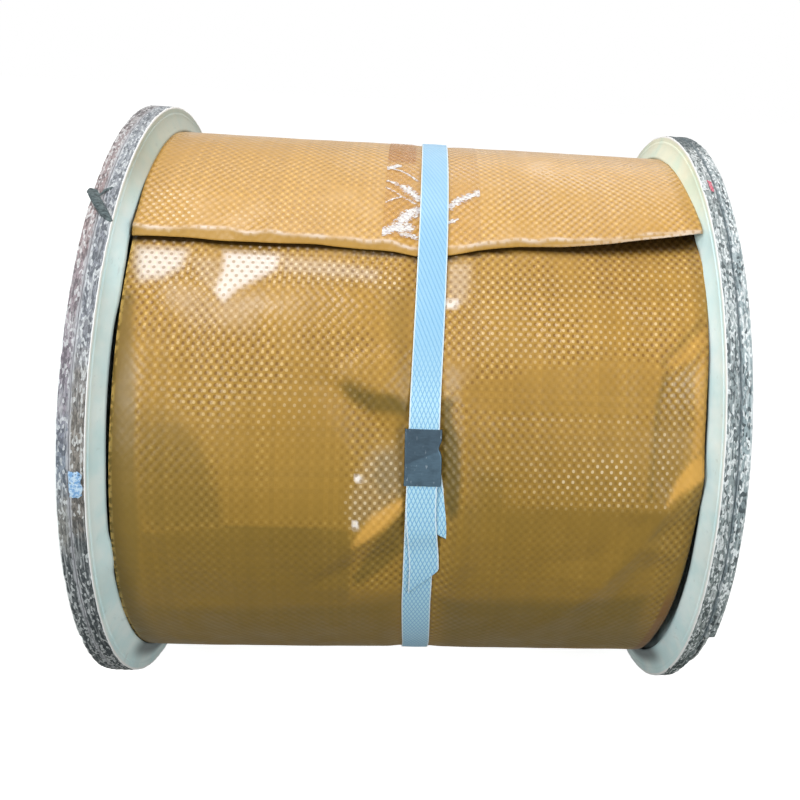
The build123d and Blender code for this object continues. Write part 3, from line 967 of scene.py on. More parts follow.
def creased(x_mm, angle):
    """Height of the creased facets at places on the front, in millimetres."""
    px, py = np.broadcast_arrays(np.asarray(x_mm, float), turned_back(angle) * MM_PER_DEGREE)
    height = np.zeros(px.shape)
    spots, level, triangles = crease_facets()
    for a, b, c in triangles:
        (ax, ay), (bx, by), (cx, cy) = spots[a], spots[b], spots[c]
        area = (bx - ax) * (cy - ay) - (cx - ax) * (by - ay)
        if abs(area) < 1e-6:
            continue
        u = ((px - ax) * (cy - ay) - (cx - ax) * (py - ay)) / area
        v = ((bx - ax) * (py - ay) - (px - ax) * (by - ay)) / area
        inside = (u >= -1e-6) & (v >= -1e-6) & (u + v <= 1 + 1e-6)
        height = np.where(inside, level[a] * (1 - u - v) + level[b] * u + level[c] * v, height)
    return height


def softened(height):
    """Round the creases a little by averaging each place with its neighbours."""
    for _ in ("rows", "columns"):
        padded = np.pad(height, ((1, 1), (0, 0)), mode="edge")
        height = (0.25 * padded[:-2] + 0.5 * height + 0.25 * padded[2:]).T
    return height


def slack(x_mm, angle):
    """How far the sheet stands off the round of the winding, in millimetres."""
    away = 1 - np.exp(-(from_strap(x_mm, angle) / 5.0) ** 2)
    stand = 0.3 + 0.3 * noise_on_reel(x_mm, angle, 42.0, 5.0) + 0.15 * noise_on_reel(x_mm, angle, 14.0, 9.0)
    return stand * away


# The flap's front edge: (along, angle)
FLAP_EDGE = [(-137, 46.7), (-92, 46.4), (-48, 46.7), (-13, 46.1), (-2, 45.6), (12, 46.0), (26, 47.1),
             (47, 48.3), (67, 48.5), (93, 49.4), (113, 50.6), (137, 52.3)]


# Waves of the flap's edge, ridge and lift, one value for each millimetre along the reel
wave_x = np.linspace(-142, 142, 285)
edge_wave, ridge_wave, lift_wave = (noise_on_reel(wave_x, FLAP_LINE, size_mm, seed)
                                    for size_mm, seed in ((19.0, 17.0), (14.0, 31.0), (30.0, 12.0)))
FLAP_LIFT_MM, OPEN_LIFT_MM, HEM_DROP_MM = 3.8, 2.4, 2.1


def open_corner(x_mm):
    """How far the flap gapes towards its right corner, from 0 to 1."""
    return ease(x_mm, 40, 137)


def flap_edge(x_mm):
    """Angle of the flap's front edge along the reel."""
    wave = 0.35 * np.interp(x_mm, wave_x, edge_wave)
    return between(x_mm, FLAP_EDGE) + wave * (1 - 0.7 * ease(x_mm, 10, 60))


def hem_depth(x_mm):
    """How far back from the flap's edge its turned ridge lies, in millimetres: a wavy line."""
    return 4.2 + 2.6 * np.interp(x_mm, wave_x, ridge_wave) - 2.8 * ease(x_mm, 20, 137)


def flap_rise(x_mm, from_edge_mm):
    """Lift of the flap near its edge: it stands off, turns over a crisp wavy ridge and dips to the edge."""
    free = 1 - 0.8 * np.exp(-(from_strap(x_mm, FLAP_LINE) / 10.0) ** 2)
    opening = open_corner(x_mm)
    ridge_at = hem_depth(x_mm)
    lift = (FLAP_LIFT_MM + 0.9 * np.interp(x_mm, wave_x, lift_wave)) * free + OPEN_LIFT_MM * opening
    body = lift * np.exp(-np.maximum(from_edge_mm - ridge_at, 0) / (11.0 + 20.0 * opening))
    hem = (HEM_DROP_MM - 1.7 * opening) * free
    return body - hem * (1 - np.clip(from_edge_mm / ridge_at, 0, 1)) ** 0.8


# The sheet's side edges down the front: (angle, along)
SHEET_LEFT_EDGE = [(-60, -136.1), (-30, -136.0), (-15, -135.4), (0, -134.8), (16, -134.2), (45, -134.3),
                   (62, -136.1)]
SHEET_RIGHT_EDGE = [(-80, 135.0), (-60, 131.5), (-38, 130.6), (-26, 132.0), (-12, 133.6), (0, 135.1),
                    (20, 135.0), (39, 137.0), (50, 138.4), (62, 138.0), (84, 136.1)]


def edge_along(angle, stops):
    """Where a side edge of the sheet lies along the reel at an angle."""
    return between(turned_back(angle), stops)


def patch(x_mm, angle, corners, feather_mm):
    """A soft-edged patch of the front inside corners given as spots of the photograph."""
    px, py = np.broadcast_arrays(np.asarray(x_mm, float), turned_back(angle) * MM_PER_DEGREE)
    spots = [(x, a * MM_PER_DEGREE) for x, a in (seen_at(*corner) for corner in corners)]
    inside = np.zeros(px.shape, bool)
    nearest = np.full(px.shape, 1e6)
    for (x0, y0), (x1, y1) in zip(spots, spots[1:] + spots[:1]):
        nearest = np.minimum(nearest, from_run(px, py, (x0, y0), (x1, y1)))
        crosses = (y0 > py) != (y1 > py)
        inside ^= crosses & (px < x0 + (py - y0) * (x1 - x0) / np.where(crosses, y1 - y0, 1))
    return ease(np.where(inside, nearest, -nearest), -feather_mm, feather_mm)


# Patches of the sheet: corners in pixels of the photograph, strength, and softness of the border in mm
PRESSED_SMOOTH = {
    "left band": ([(120, 300), (134, 300), (137, 420), (144, 530), (152, 645), (125, 645), (100, 530),
        (104, 400)], 1.0, 2.0),
    "low left": ([(112, 531), (160, 529), (230, 523), (300, 524), (348, 528), (352, 545), (350, 645),
        (125, 645)], 0.75, 1.2),
    "beside the left band": ([(140, 395), (170, 392), (196, 420), (196, 445), (140, 445)], 0.8, 3.0),
    "upright strip": ([(216, 430), (258, 430), (262, 520), (222, 522)], 0.8, 3.0),
    "under the pale patches": ([(190, 285), (222, 306), (262, 292), (300, 285), (300, 320), (230, 330)],
        0.7, 4.0),
    "middle top": ([(262, 285), (380, 285), (372, 330), (300, 330)], 0.55, 5.0),
    "right band": ([(447, 398), (470, 385), (500, 378), (560, 368), (620, 358), (645, 362), (662, 368),
        (660, 410), (640, 415), (480, 412)], 0.8, 1.5),
    "low right": ([(505, 507), (620, 506), (636, 510), (610, 545), (540, 550), (505, 540)], 0.8, 2.5),
    "low right facet": ([(640, 507), (666, 508), (655, 545), (630, 545)], 0.9, 2.0),
    "right fold": ([(664, 505), (676, 480), (702, 456), (702, 480)], 0.9, 1.0),
    "bottom left": ([(125, 585), (402, 590), (402, 650), (125, 650)], 0.9, 4.0),
    "bottom right": ([(440, 590), (560, 600), (640, 645), (440, 650)], 0.7, 5.0),
    "beside the strap": ([(446, 360), (480, 362), (470, 380), (446, 388)], 0.7, 2.0),
    "middle": ([(262, 390), (345, 390), (350, 520), (262, 520)], 0.9, 6.0),
    "left square": ([(140, 440), (210, 440), (222, 523), (150, 530)], 0.35, 4.0),
    "low, right of the strap": ([(452, 508), (660, 508), (640, 645), (452, 645)], 0.8, 4.0),
    "right middle": ([(452, 410), (650, 420), (650, 500), (452, 505)], 0.3, 4.0),
}
# Painted sheen and glints on the sheet, where the lamp's reflection falls.
PAINTED_SHEEN_PATCHES = {
    "left patch": ([(137, 246), (187, 249), (180, 266), (163, 276), (140, 279), (136, 262)], 0.72, 3.5),
    "middle patch": ([(224, 250), (280, 253), (276, 268), (258, 278), (236, 290), (223, 303), (214, 290),
        (222, 270)], 0.8, 2.2),
    "row under the flap": ([(280, 254), (340, 262), (378, 270), (376, 279), (340, 276), (284, 270)], 0.22,
        2.5),
    "between the patches": ([(190, 255), (222, 258), (220, 296), (200, 280)], 0.14, 3.0),
    "glow under the patches": ([(165, 285), (215, 300), (262, 298), (250, 330), (190, 325)], 0.1, 6.0),
    "strip by the strap": ([(449, 262), (472, 262), (467, 300), (448, 300)], 0.2, 2.5),
    "spot by the strap": ([(444, 299), (461, 299), (456, 307), (444, 307)], 0.9, 1.0),
    "sheen by the strap": ([(446, 368), (472, 372), (462, 386), (446, 394)], 0.06, 3.0),
    "crowns by the seal": ([(372, 452), (396, 445), (402, 470), (400, 495), (376, 515), (352, 525),
        (350, 500), (360, 470)], 0.07, 3.0),
    "upper glint": ([(355, 475), (362, 475), (362, 481), (355, 481)], 1.0, 0.6),
    "lower glint": ([(352, 520), (358, 520), (359, 527), (353, 527)], 1.0, 0.6),
}
# Painted highlights on the crowns of the weave, below the flap.
PAINTED_CROWN_HIGHLIGHTS = {
    "left patch": ([(137, 246), (195, 250), (222, 258), (220, 300), (196, 300), (163, 290), (138, 292),
        (134, 262)], 0.6, 4.0),
    "row under the flap": ([(276, 252), (340, 260), (404, 274), (402, 290), (340, 284), (268, 284)], 0.75,
        3.0),
    "glow under the patches": ([(150, 288), (215, 305), (262, 300), (300, 290), (300, 330), (190, 340)],
        0.3, 7.0),
    "right crowns": ([(545, 470), (620, 452), (640, 466), (634, 500), (590, 500), (540, 484)], 0.72, 6.0),
    "right crowns, wide": ([(470, 470), (545, 440), (650, 430), (655, 500), (520, 502)], 0.25, 8.0),
    "far right crowns": ([(655, 430), (674, 430), (668, 494), (650, 494)], 0.55, 4.0),
    "right facet crowns": ([(664, 380), (692, 366), (688, 430), (676, 474), (660, 470)], 0.35, 4.0),
    "crease line": ([(500, 416), (645, 419), (645, 426), (500, 421)], 0.4, 1.2),
    "fold line": ([(540, 500), (640, 499), (667, 502), (667, 508), (640, 506), (540, 506)], 0.4, 1.2),
    "crowns by the seal": ([(372, 448), (398, 440), (402, 470), (400, 495), (376, 515), (350, 528),
        (346, 500), (358, 470)], 0.62, 3.0),
    "right of the seal": ([(452, 410), (462, 430), (466, 480), (456, 500), (449, 470), (447, 430)], 0.14,
        2.5),
    "under the flap, right": ([(470, 275), (700, 262), (702, 310), (640, 350), (560, 362), (460, 362)],
        0.42, 8.0),
    "mid left": ([(150, 330), (330, 320), (360, 380), (300, 430), (215, 430), (150, 400)], 0.28, 12.0),
}
# Painted highlights on the crowns of the weave, on the flap.
PAINTED_CROWN_HIGHLIGHTS_ON_FLAP = {
    "left of the flap": ([(148, 184), (190, 184), (204, 218), (170, 232), (146, 214)], 0.8, 5.0),
    "middle of the flap": ([(215, 205), (330, 200), (350, 228), (230, 232)], 0.4, 9.0),
    "right of the flap": ([(480, 190), (640, 180), (690, 215), (520, 240)], 0.22, 9.0),
}
# Painted shade in the dents of the sheet.
PAINTED_SHADE_IN_DENTS = {
    "left of the seal": ([(340, 386), (350, 382), (364, 388), (382, 394), (394, 395), (410, 404),
        (408, 420), (390, 414), (370, 412), (352, 402)], 0.85, 3.0),
    "deep by the seal": ([(376, 392), (394, 395), (410, 403), (408, 417), (392, 412)], 0.9, 2.5),
    "seal's left side": ([(398, 418), (406, 424), (404, 496), (396, 496), (392, 470), (396, 440)], 0.45,
        2.5),
    "among the crowns": ([(376, 456), (398, 450), (400, 484), (384, 497), (372, 480)], 0.55, 3.0),
    "below the ridge": ([(404, 517), (404, 555), (384, 572), (356, 586), (352, 578), (366, 558), (376, 540),
        (388, 528)], 0.65, 2.2),
    "low left": ([(100, 531), (160, 529), (230, 523), (300, 524), (348, 528), (352, 545), (350, 650),
        (120, 650)], 0.46, 0.9),
    "left band": ([(120, 290), (133, 290), (137, 420), (143, 530), (150, 650), (120, 650), (100, 530),
        (104, 400)], 0.62, 2.5),
    "left square": ([(140, 424), (176, 420), (196, 436), (208, 460), (218, 490), (224, 523), (150, 530),
        (138, 500)], 0.42, 4.0),
    "left square, top": ([(120, 420), (150, 404), (176, 412), (186, 430), (150, 444), (120, 440)], 0.25,
        4.0),
    "right of the seal": ([(442, 399), (454, 399), (452, 412), (454, 425), (459, 440), (461, 480),
        (458, 512), (450, 520), (444, 500), (442, 460)], 0.95, 2.0),
    "low right": ([(462, 507), (560, 506), (620, 505), (668, 507), (698, 482), (692, 560), (650, 650),
        (440, 650), (450, 530)], 0.24, 1.5),
    "low right facet": ([(640, 507), (668, 508), (672, 530), (650, 570), (620, 610), (590, 645), (560, 645),
        (590, 600), (618, 556), (628, 530)], 0.36, 2.5),
    "right facet": ([(668, 374), (698, 352), (692, 390), (688, 430), (676, 478), (664, 503), (650, 498),
        (655, 450), (660, 400)], 0.2, 3.0),
    "right hollow": ([(474, 466), (502, 474), (508, 508), (490, 524), (474, 505)], 0.34, 5.0),
    "right hollow, low": ([(462, 500), (520, 507), (560, 520), (500, 560), (460, 550)], 0.3, 6.0),
    "under the right fold": ([(672, 507), (698, 482), (700, 500), (690, 540), (676, 540)], 0.26, 2.0),
    "low by the strap": ([(444, 555), (480, 560), (520, 600), (520, 650), (436, 650)], 0.3, 6.0),
    "high by the strap": ([(380, 286), (412, 286), (407, 390), (388, 330)], 0.3, 5.0),
    "bottom": ([(120, 600), (400, 602), (400, 650), (120, 650)], 0.66, 9.0),
    "bottom right": ([(436, 600), (650, 596), (640, 650), (436, 650)], 0.78, 9.0),
    "edge of the right facet": ([(664, 372), (669, 376), (661, 402), (657, 450), (652, 500), (646, 500),
        (651, 450), (655, 400)], 0.5, 1.0),
    "above the right corner": ([(658, 364), (700, 318), (703, 328), (668, 372)], 0.34, 1.4),
    "step over the low left": ([(225, 522), (300, 524), (348, 528), (348, 533), (300, 529), (225, 527)],
        0.5, 0.9),
}
# Painted light on the folds of the sheet.
PAINTED_LIGHT_ON_FOLDS = {
    "ridge below the seal": ([(372, 513), (402, 499), (404, 511), (388, 524), (366, 540), (352, 546),
        (358, 532)], 0.75, 1.2),
    "right fold": ([(664, 505), (676, 480), (690, 462), (704, 453), (704, 478), (680, 492)], 0.6, 0.9),
    "right edge": ([(694, 380), (703, 350), (707, 400), (704, 450), (692, 460), (696, 420)], 0.5, 1.5),
    "right corner": ([(665, 362), (704, 328), (706, 344), (690, 362), (668, 369)], 0.3, 1.0),
}


def sheet_rows():
    """Unrolled angles of the sheet from its hidden end down the front, round the back and over the top."""
    return np.concatenate([
        np.arange(UNDER_EDGE_ANGLE, 50.0, -2.5), np.arange(50.0, 30.0, -0.9), np.arange(30.0, -30.0, -0.66),
        np.arange(-30.0, -64.0, -1.1), np.arange(-64.0, -256.0, -5.3), np.arange(-256.0, -306.0, -1.25),
        np.linspace(-306.0, -313.5, 26)])


def sheet_columns():
    """Places across the sheet from 0 to 1, closer together by the strap and the right edge."""
    stops = [(-136.1, -44, 52), (-44, 32, 54), (32, 98, 36), (98, 136.1, 28)]
    places = np.concatenate([np.linspace(start, end, count, endpoint=False) for start, end, count in stops])
    return (np.append(places, stops[-1][1]) - stops[0][0]) / (stops[-1][1] - stops[0][0])


def sheet_surface(across, rows):
    """Outer surface of the sheet as (along, angle, radius) arrays in millimetres and degrees."""
    across = across[None, :]
    angle = rows[:, None]
    left = edge_along(angle, SHEET_LEFT_EDGE)
    x = left + across * (edge_along(angle, SHEET_RIGHT_EDGE) - left)
    on_flap = ease(-angle, FULL_TURN - LAP_RAMP_END, FULL_TURN - LAP_RAMP_START)
    near_edge = ease(-angle, 300.0, 313.5)
    bent = angle + near_edge * (flap_edge(x) - FLAP_EDGE_ANGLE)
    from_edge = np.maximum((bent + FULL_TURN - flap_edge(x)) * MM_PER_DEGREE, 0)
    radius = sheet_outside / MM + LAP_STEP_MM * on_flap + slack(x, bent)
    radius = radius + np.where(on_flap > 0.99, flap_rise(x, from_edge), 0)
    front = (angle < CREASED_TOP) & (angle > CREASED_BOTTOM)
    tucked = ease(angle, 44.0, 54.0)
    radius = np.where(front, radius + CREASE_DEPTH * softened(creased(x, angle)) * (1 - tucked), radius)
    radius = np.where(angle > 54.0, sheet_outside / MM - 0.2, radius)
    return x, bent, radius


def paint_zone(mesh, name, amount):
    """Keep a value from 0 to 1 for each corner of a mesh, for its material to read."""
    layer = mesh.attributes.new(name, "FLOAT", "POINT")
    layer.data.foreach_set("value", np.clip(amount, 0, 1).ravel())


def zones(patches, x, angle, where):
    """The strongest of the listed patches at each corner of the sheet, kept to one layer."""
    amount = np.zeros(angle.shape)
    for corners, level, feather in patches.values():
        amount = np.maximum(amount, level * patch(x, angle, corners, feather))
    return amount * where


def sheet_zones(x, angle):
    """How strong each zone of the sheet is at its corners, by the zone's name."""
    lower_layer = (angle > -70) & (angle < 60)
    flap_layer = angle < -270
    opening = open_corner(x)
    past_edge = angle + FULL_TURN - flap_edge(x)
    past_ridge = past_edge * MM_PER_DEGREE - hem_depth(x)
    hem = flap_layer * (1 - ease(past_ridge, -1.0, 0.4)) * (1 - 0.6 * opening)
    left_edge, right_edge = (edge_along(angle, stops) for stops in (SHEET_LEFT_EDGE, SHEET_RIGHT_EDGE))
    selvage = lower_layer * ease(x, right_edge - 4.6, right_edge - 4.0) * ease(-angle, 8, 14)
    uneven = 0.5 + 0.5 * noise_on_reel(x, FLAP_LINE, 7.0, 3.0)
    # Painted highlights along the flap's ridge and at its open corner.
    ridge_glint = flap_layer * uneven * 0.85 * np.exp(-(past_ridge / 0.9) ** 2)
    edge_glint = flap_layer * opening * 0.5 * (past_edge < 0.5)
    # Painted light over the flap, which faces up.
    painted_light_on_flap = 0.36 * flap_layer * ease(-angle, 258, 292)
    gap_start = flap_edge(x) - 1.15 - 2.0 * opening

    def below(patches):
        return zones(patches, x, angle, lower_layer)

    return {
        "pressed": np.maximum.reduce([below(PRESSED_SMOOTH), hem, selvage]),
        # painted sheen: pale patches and glints
        "painted_sheen": np.maximum.reduce([below(PAINTED_SHEEN_PATCHES), ridge_glint, edge_glint]),
        # painted shade low on the front
        "painted_low_shade": lower_layer * ease(-angle, -36, 8) * (1 - ease(-angle, 40, 70)),
        # painted highlights on the crowns of the weave
        "painted_crown_highlights": np.maximum(below(PAINTED_CROWN_HIGHLIGHTS), zones(PAINTED_CROWN_HIGHLIGHTS_ON_FLAP, x, angle, flap_layer)),
        # painted shade in the dents and on the flap's hem
        "shaded": np.maximum(below(PAINTED_SHADE_IN_DENTS), 0.5 * hem),
        # painted light on folds and over the flap
        "lit": np.maximum(below(PAINTED_LIGHT_ON_FOLDS), painted_light_on_flap),
        "cut": lower_layer * (1 - ease(x, left_edge + 0.3, left_edge + 1.0)),
        "stained": selvage * ease(-angle, 16, 26),
        # painted shadow in the gap under the flap's edge
        "painted_gap_shadow": (angle > -180) * ease(angle, gap_start, gap_start + 0.7 + 1.6 * opening),
    }


def make_woven_sheet():
    """The sheet once round the winding, its free end lying over its first end as a flap."""
    x, angle, radius = sheet_surface(sheet_columns(), sheet_rows())
    mesh = grid_mesh("woven_sheet", on_reel(x, angle, radius - 0.25))
    smooth(mesh, 60)
    for name, amount in sheet_zones(x, angle).items():
        paint_zone(mesh, name, amount)
    sheet = piece("woven_sheet", mesh, woven_wrap(), ["wrap_sheet"])
    thicken(sheet, SHEET_THICKNESS_MM)


make_woven_sheet()


# Clear tape over the flap

TAPE_LEFT_MM, TAPE_RIGHT_MM = -19.4, 28.4
TAPE_START, TAPE_END = 48.8, 116.0
TAPE_OFF_SHEET_MM = 0.12


def lap_radius(x_mm, angle):
    """Outer surface of the flap and the sheet behind it."""
    on_flap = 1 - ease(angle, LAP_RAMP_START, LAP_RAMP_END)
    from_edge = np.maximum((angle - flap_edge(x_mm)) * MM_PER_DEGREE, 0)
    radius = sheet_outside / MM + LAP_STEP_MM * on_flap + slack(x_mm, angle)
    return radius + np.where(on_flap > 0.99, flap_rise(x_mm, from_edge), 0)


# Painted highlights, gloss streaks of the wrinkled film: places (along, angle), half width in mm, strength
GLINTS = [
    ([(-18.9, 70.6), (-15.5, 71.6), (-13.5, 71.9)], 1.9, 1.0),
    ([(-16.9, 70.6), (-10.1, 69.2), (-3.2, 66.3)], 0.9, 0.75),
    ([(-18.6, 65.6), (-14.8, 64.7), (-9.6, 63.4)], 1.2, 0.8),
    ([(-9.6, 63.4), (-6.5, 62.1), (-3.0, 60.4)], 3.0, 0.85),
    ([(-18.8, 63.1), (-11.9, 60.8), (-4.2, 58.6)], 0.9, 0.65),
    ([(-18.8, 58.4), (-11.8, 60.3)], 0.9, 0.6),
    ([(-11.5, 52.4), (-7.4, 55.2), (-2.6, 56.8)], 3.6, 0.85),
    ([(-19.0, 50.0), (-14.0, 51.2), (-7.1, 51.9)], 3.2, 0.95),
    ([(-9.7, 49.9), (-3.0, 49.6)], 1.7, 0.8),
    ([(13.2, 58.3), (19.2, 60.7), (27.6, 63.0)], 3.0, 0.8),
    ([(12.6, 54.0), (16.6, 54.6)], 1.4, 0.85),
    ([(13.0, 101.0), (26.0, 100.0)], 1.2, 0.3),
]


def from_line(x_mm, angle, dots):
    """Distance in millimetres from places on the front to a line of (along, angle) dots."""
    spots = [(x, a * MM_PER_DEGREE) for x, a in dots]
    runs = zip(spots, spots[1:])
    return np.minimum.reduce([from_run(x_mm, angle * MM_PER_DEGREE, *ends) for ends in runs])


def make_clear_tape():
    """Tape over the flap's edge and up its back: white with painted glints low down, flat and clear above."""
    across = np.linspace(TAPE_LEFT_MM, TAPE_RIGHT_MM, 90)
    x, angle = np.meshgrid(across, np.linspace(TAPE_START, TAPE_END, 260))
    # Where the painted glints lie on the tape.
    painted_glints = np.zeros(x.shape)
    for dots, half_width, amount in GLINTS:
        painted_glints = np.maximum(painted_glints, amount * np.exp(-(from_line(x, angle, dots) / half_width) ** 2))
    flat = ease(angle, 72.5, 75.0) * (1 - ease(x, -6.0, -3.0)) * (1 - ease(angle, 84, 96))
    flat = np.maximum(flat, 0.3 * (x < -6))
    folds = np.abs(noise_on_reel(x * 0.4, angle, 4.0, 21.0))
    clear_of_strap = 1 - np.exp(-(from_strap(x, angle) / 3.0) ** 2)
    radius = lap_radius(x, angle) + TAPE_OFF_SHEET_MM + 0.5 * folds * clear_of_strap
    mesh = grid_mesh("clear_tape_film", on_reel(x, angle, radius))
    paint_zone(mesh, "painted_glints", painted_glints)
    paint_zone(mesh, "flat", flat)
    smooth(mesh, 60)
    piece("clear_tape_film", mesh, clear_film(), ["clear_tape"])


make_clear_tape()


# Strap and its tails

strap_inside_mm = strap_outside / MM - STRAP_THICKNESS_MM


def along_stops(stops, step=1.0):
    """Angles and radii that ease from stop to stop."""
    angles, radii = [], []
    for (a0, r0), (a1, r1) in zip(stops, stops[1:]):
        t = np.linspace(0, 1, max(2, int(abs(a1 - a0) / step)), endpoint=False)
        angles.append(a0 + (a1 - a0) * t)
        radii.append(r0 + (r1 - r0) * (t * t * (3 - 2 * t)))
    return np.append(np.concatenate(angles), stops[-1][0]), np.append(np.concatenate(radii), stops[-1][1])


def ribbon_mesh(name, stops, lean=0.0, lean_from=0.0, lean_to=1.0, cut=(0.0, 0.0), steps=12):
    """A closed strap length through (angle, inner radius) stops; its end may lean and be cut on the slant."""
    angles, radii = along_stops(stops)
    half = STRAP_WIDTH_MM / 2
    border = half - STRAP_BORDER_MM
    across = np.concatenate([[-half], np.linspace(-border, border, steps - 2), [half]])
    reach = angles[-1] - angles[0]
    longer = 1 + np.linspace(cut[0], cut[1], steps) / reach
    angle = angles[0] + (angles[:, None] - angles[0]) * longer[None, :]
    radius = np.interp(-angle, -angles, radii)
    x = strap_middle(angle) + across[None, :] + lean * ease(-angle, lean_from, lean_to)
    crown = 0.12 * (1 - (2 * across / STRAP_WIDTH_MM) ** 2)
    lower = on_reel(x, angle, radius + crown)
    upper = on_reel(x, angle, radius + crown + STRAP_THICKNESS_MM)
    mesh = grid_mesh(name, np.concatenate([upper, lower[:, ::-1]], axis=1), closed_across=True)
    around = 2 * steps
    pale = {0, steps - 2, steps - 1, steps, around - 2, around - 1}
    for face in mesh.polygons:
        face.material_index = 1 if face.index % around in pale else 0
    return mesh


def make_strap():
    """The strap once round the reel, its long tail cut on the slant and its short tail folded out."""
    inside = strap_inside_mm
    in_seal = inside + 1.4
    tail = in_seal + 0.75
    around = [(14.0, in_seal), (-6.0, in_seal), (-11.0, inside), (-240.0, inside), (-246.0, inside + 0.5),
              (-260.0, inside + 0.5), (-278.0, inside + 1.7), (-311.5, inside + 2.0), (-322.0, inside + 0.2),
              (-338.0, inside), (-346.0, tail)]
    long_tail = [(14.0, tail), (-6.0, tail), (-11.0, inside + 0.8), (-18.3, inside + 1.1)]
    short_tail = [(14.0, inside), (3.0, inside + 0.2), (-6.3, inside + 1.2)]
    mesh = closed_body("plastic_strap", [
        ribbon_mesh("strap_round", around),
        ribbon_mesh("long_tail", long_tail, 2.9, 0.0, 16.0, cut=(-3.4, 3.4)),
        ribbon_mesh("short_tail", short_tail, 6.2, -12.0, 8.0, cut=(1.9, -1.9))])
    smooth(mesh, 35)
    body = strap_plastic("strap_plastic", rgb(118, 176, 218), rgb(184, 224, 240))
    border = strap_plastic("strap_edge_plastic", rgb(212, 230, 240), rgb(228, 240, 248))
    piece("plastic_strap", mesh, [body, border], ["strap"])


make_strap()


# Seal

SEAL_TOP, SEAL_BOTTOM, SEAL_WIDTH_MM = 13.1, 2.9, 17.0


def seal_section(outside_mm):
    """Cross-section of the folded sleeve: out along the front, round the sides and in to the lips."""
    side, thick, corner = SEAL_WIDTH_MM / 2, 0.5, 0.8
    lip = strap_inside_mm + 1.05
    turn = np.radians(np.linspace(90, 0, 5))
    right = [(side - corner + corner * math.cos(a), outside_mm - corner + corner * math.sin(a)) for a in turn]
    right.append((side, lip))
    front = [(-x, out) for x, out in reversed(right)] + right
    inner = [(x * (side - thick) / side, max(out - thick, lip)) for x, out in reversed(front)]
    return front + inner


def make_seal():
    """The folded steel sleeve, crimped twice and nipped in on its right."""
    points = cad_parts["strap_seal"].data.vertices
    outside_mm = max(math.hypot(v.co.y, v.co.z - axis_height) for v in points) / MM
    x, radius = (np.array(column) for column in zip(*seal_section(outside_mm)))
    rows = []
    for angle in np.linspace(SEAL_TOP, SEAL_BOTTOM, 34):
        crimp = sum(math.exp(-((angle - middle) / 0.45) ** 2) for middle in (10.6, 5.4))
        nipped = 1.3 * math.exp(-((angle - 9.8) / 0.9) ** 2) * (x > 6)
        dented = 0.3 * crimp * np.exp(-((np.abs(x) - 5.0) / 2.2) ** 2)
        skewed = 0.25 * math.sin(math.radians(angle * 20))
        rows.append(on_reel(x + strap_middle(angle) - nipped + skewed, angle, radius - dented))
    mesh = closed_body("steel_seal", [grid_mesh("seal_rows", np.array(rows), closed_across=True)])
    smooth(mesh, 40)
    piece("steel_seal", mesh, seal_steel(), ["strap_seal"])


make_seal()


# Scraps and paint on the rims

def rag(name, spine, widths_mm, material, steps=9):
    """A torn, twisted strip along a spine of (along, angle, height off the rim), with its widths there."""
    spine, widths_mm = np.array(spine, float), np.array(widths_mm, float)
    t = np.linspace(0, 1, 28)
    stops = np.linspace(0, 1, len(spine))
    x, angle, lift = (np.interp(t, stops, spine[:, i]) for i in range(3))
    width = np.interp(t, stops, widths_mm)
    run = np.gradient(np.stack([x, angle * MM_PER_DEGREE]), axis=1)
    run /= np.linalg.norm(run, axis=0)
    turn = np.linspace(0, 2 * math.pi, steps, endpoint=False)
    across = np.cos(turn)[None, :] * width[:, None] / 2
    twisted = np.sin(turn)[None, :] * 0.9 + 0.5 * np.sin(2 * turn + 9 * t[:, None])
    out = flange_radius / MM + lift[:, None] + twisted * np.minimum(width, 3.0)[:, None] / 3
    px = x[:, None] - across * run[1][:, None]
    pa = angle[:, None] + across * run[0][:, None] / MM_PER_DEGREE
    ragged = 0.35 * soft_noise(px, pa * MM_PER_DEGREE, 0.0, 2.0, 4.0)
    mesh = grid_mesh(name, on_reel(px + ragged, pa, out), closed_across=True)
    smooth(mesh, 60)
    return piece(name, mesh, material)


def rim_dab(name, corners, material, lift_mm=0.15, steps=12):
    """A thin dab of paint between (along, angle) corners, top left, top right, bottom right, bottom left."""
    (x0, a0), (x1, a1), (x2, a2), (x3, a3) = corners
    u, v = np.meshgrid(np.linspace(0, 1, steps), np.linspace(0, 1, steps))
    x = (1 - v) * ((1 - u) * x0 + u * x1) + v * ((1 - u) * x3 + u * x2)
    angle = (1 - v) * ((1 - u) * a0 + u * a1) + v * ((1 - u) * a3 + u * a2)
    border = np.minimum.reduce([u, 1 - u, v, 1 - v])
    x = x + 0.8 * soft_noise(x, angle * MM_PER_DEGREE, 0.0, 1.7, 8.0) * (border < 0.05)
    angle = angle + 0.4 * soft_noise(x, angle * MM_PER_DEGREE, 5.0, 1.7, 8.0) * (border < 0.05)
    mesh = grid_mesh(name, on_reel(x, angle, flange_radius / MM + lift_mm + 0.3 * (border > 0.05)))
    smooth(mesh, 60)
    return piece(name, mesh, material)


scrap = torn_scrap()
rag("rim_scrap", [(-155.5, 53.2, -1.6), (-152.5, 52.0, 0.4), (-148.5, 49.6, 0.8), (-144.5, 47.6, 0.6),
                  (-140.8, 46.3, -0.6)], [2.0, 4.6, 4.4, 4.0, 1.4], scrap)
rag("rim_scrap_thread", [(-150.5, 50.8, 0.2), (-147.5, 52.4, 0.4), (-144.6, 53.6, 0.0)], [0.8, 1.4, 0.7],
    scrap)
rim_dab("blue_paint_dab", [(-147.3, 5.4), (-141.9, 5.2), (-141.7, 1.3), (-147.1, 1.0)],
        chipped_paint("blue_paint", rgb(112, 158, 206), rgb(196, 216, 232)))
rim_dab("red_paint_fleck", [(144.2, 64.5), (146.0, 64.0), (146.2, 60.8), (144.6, 61.2)],
        chipped_paint("red_paint", rgb(196, 62, 92), rgb(222, 150, 160)))


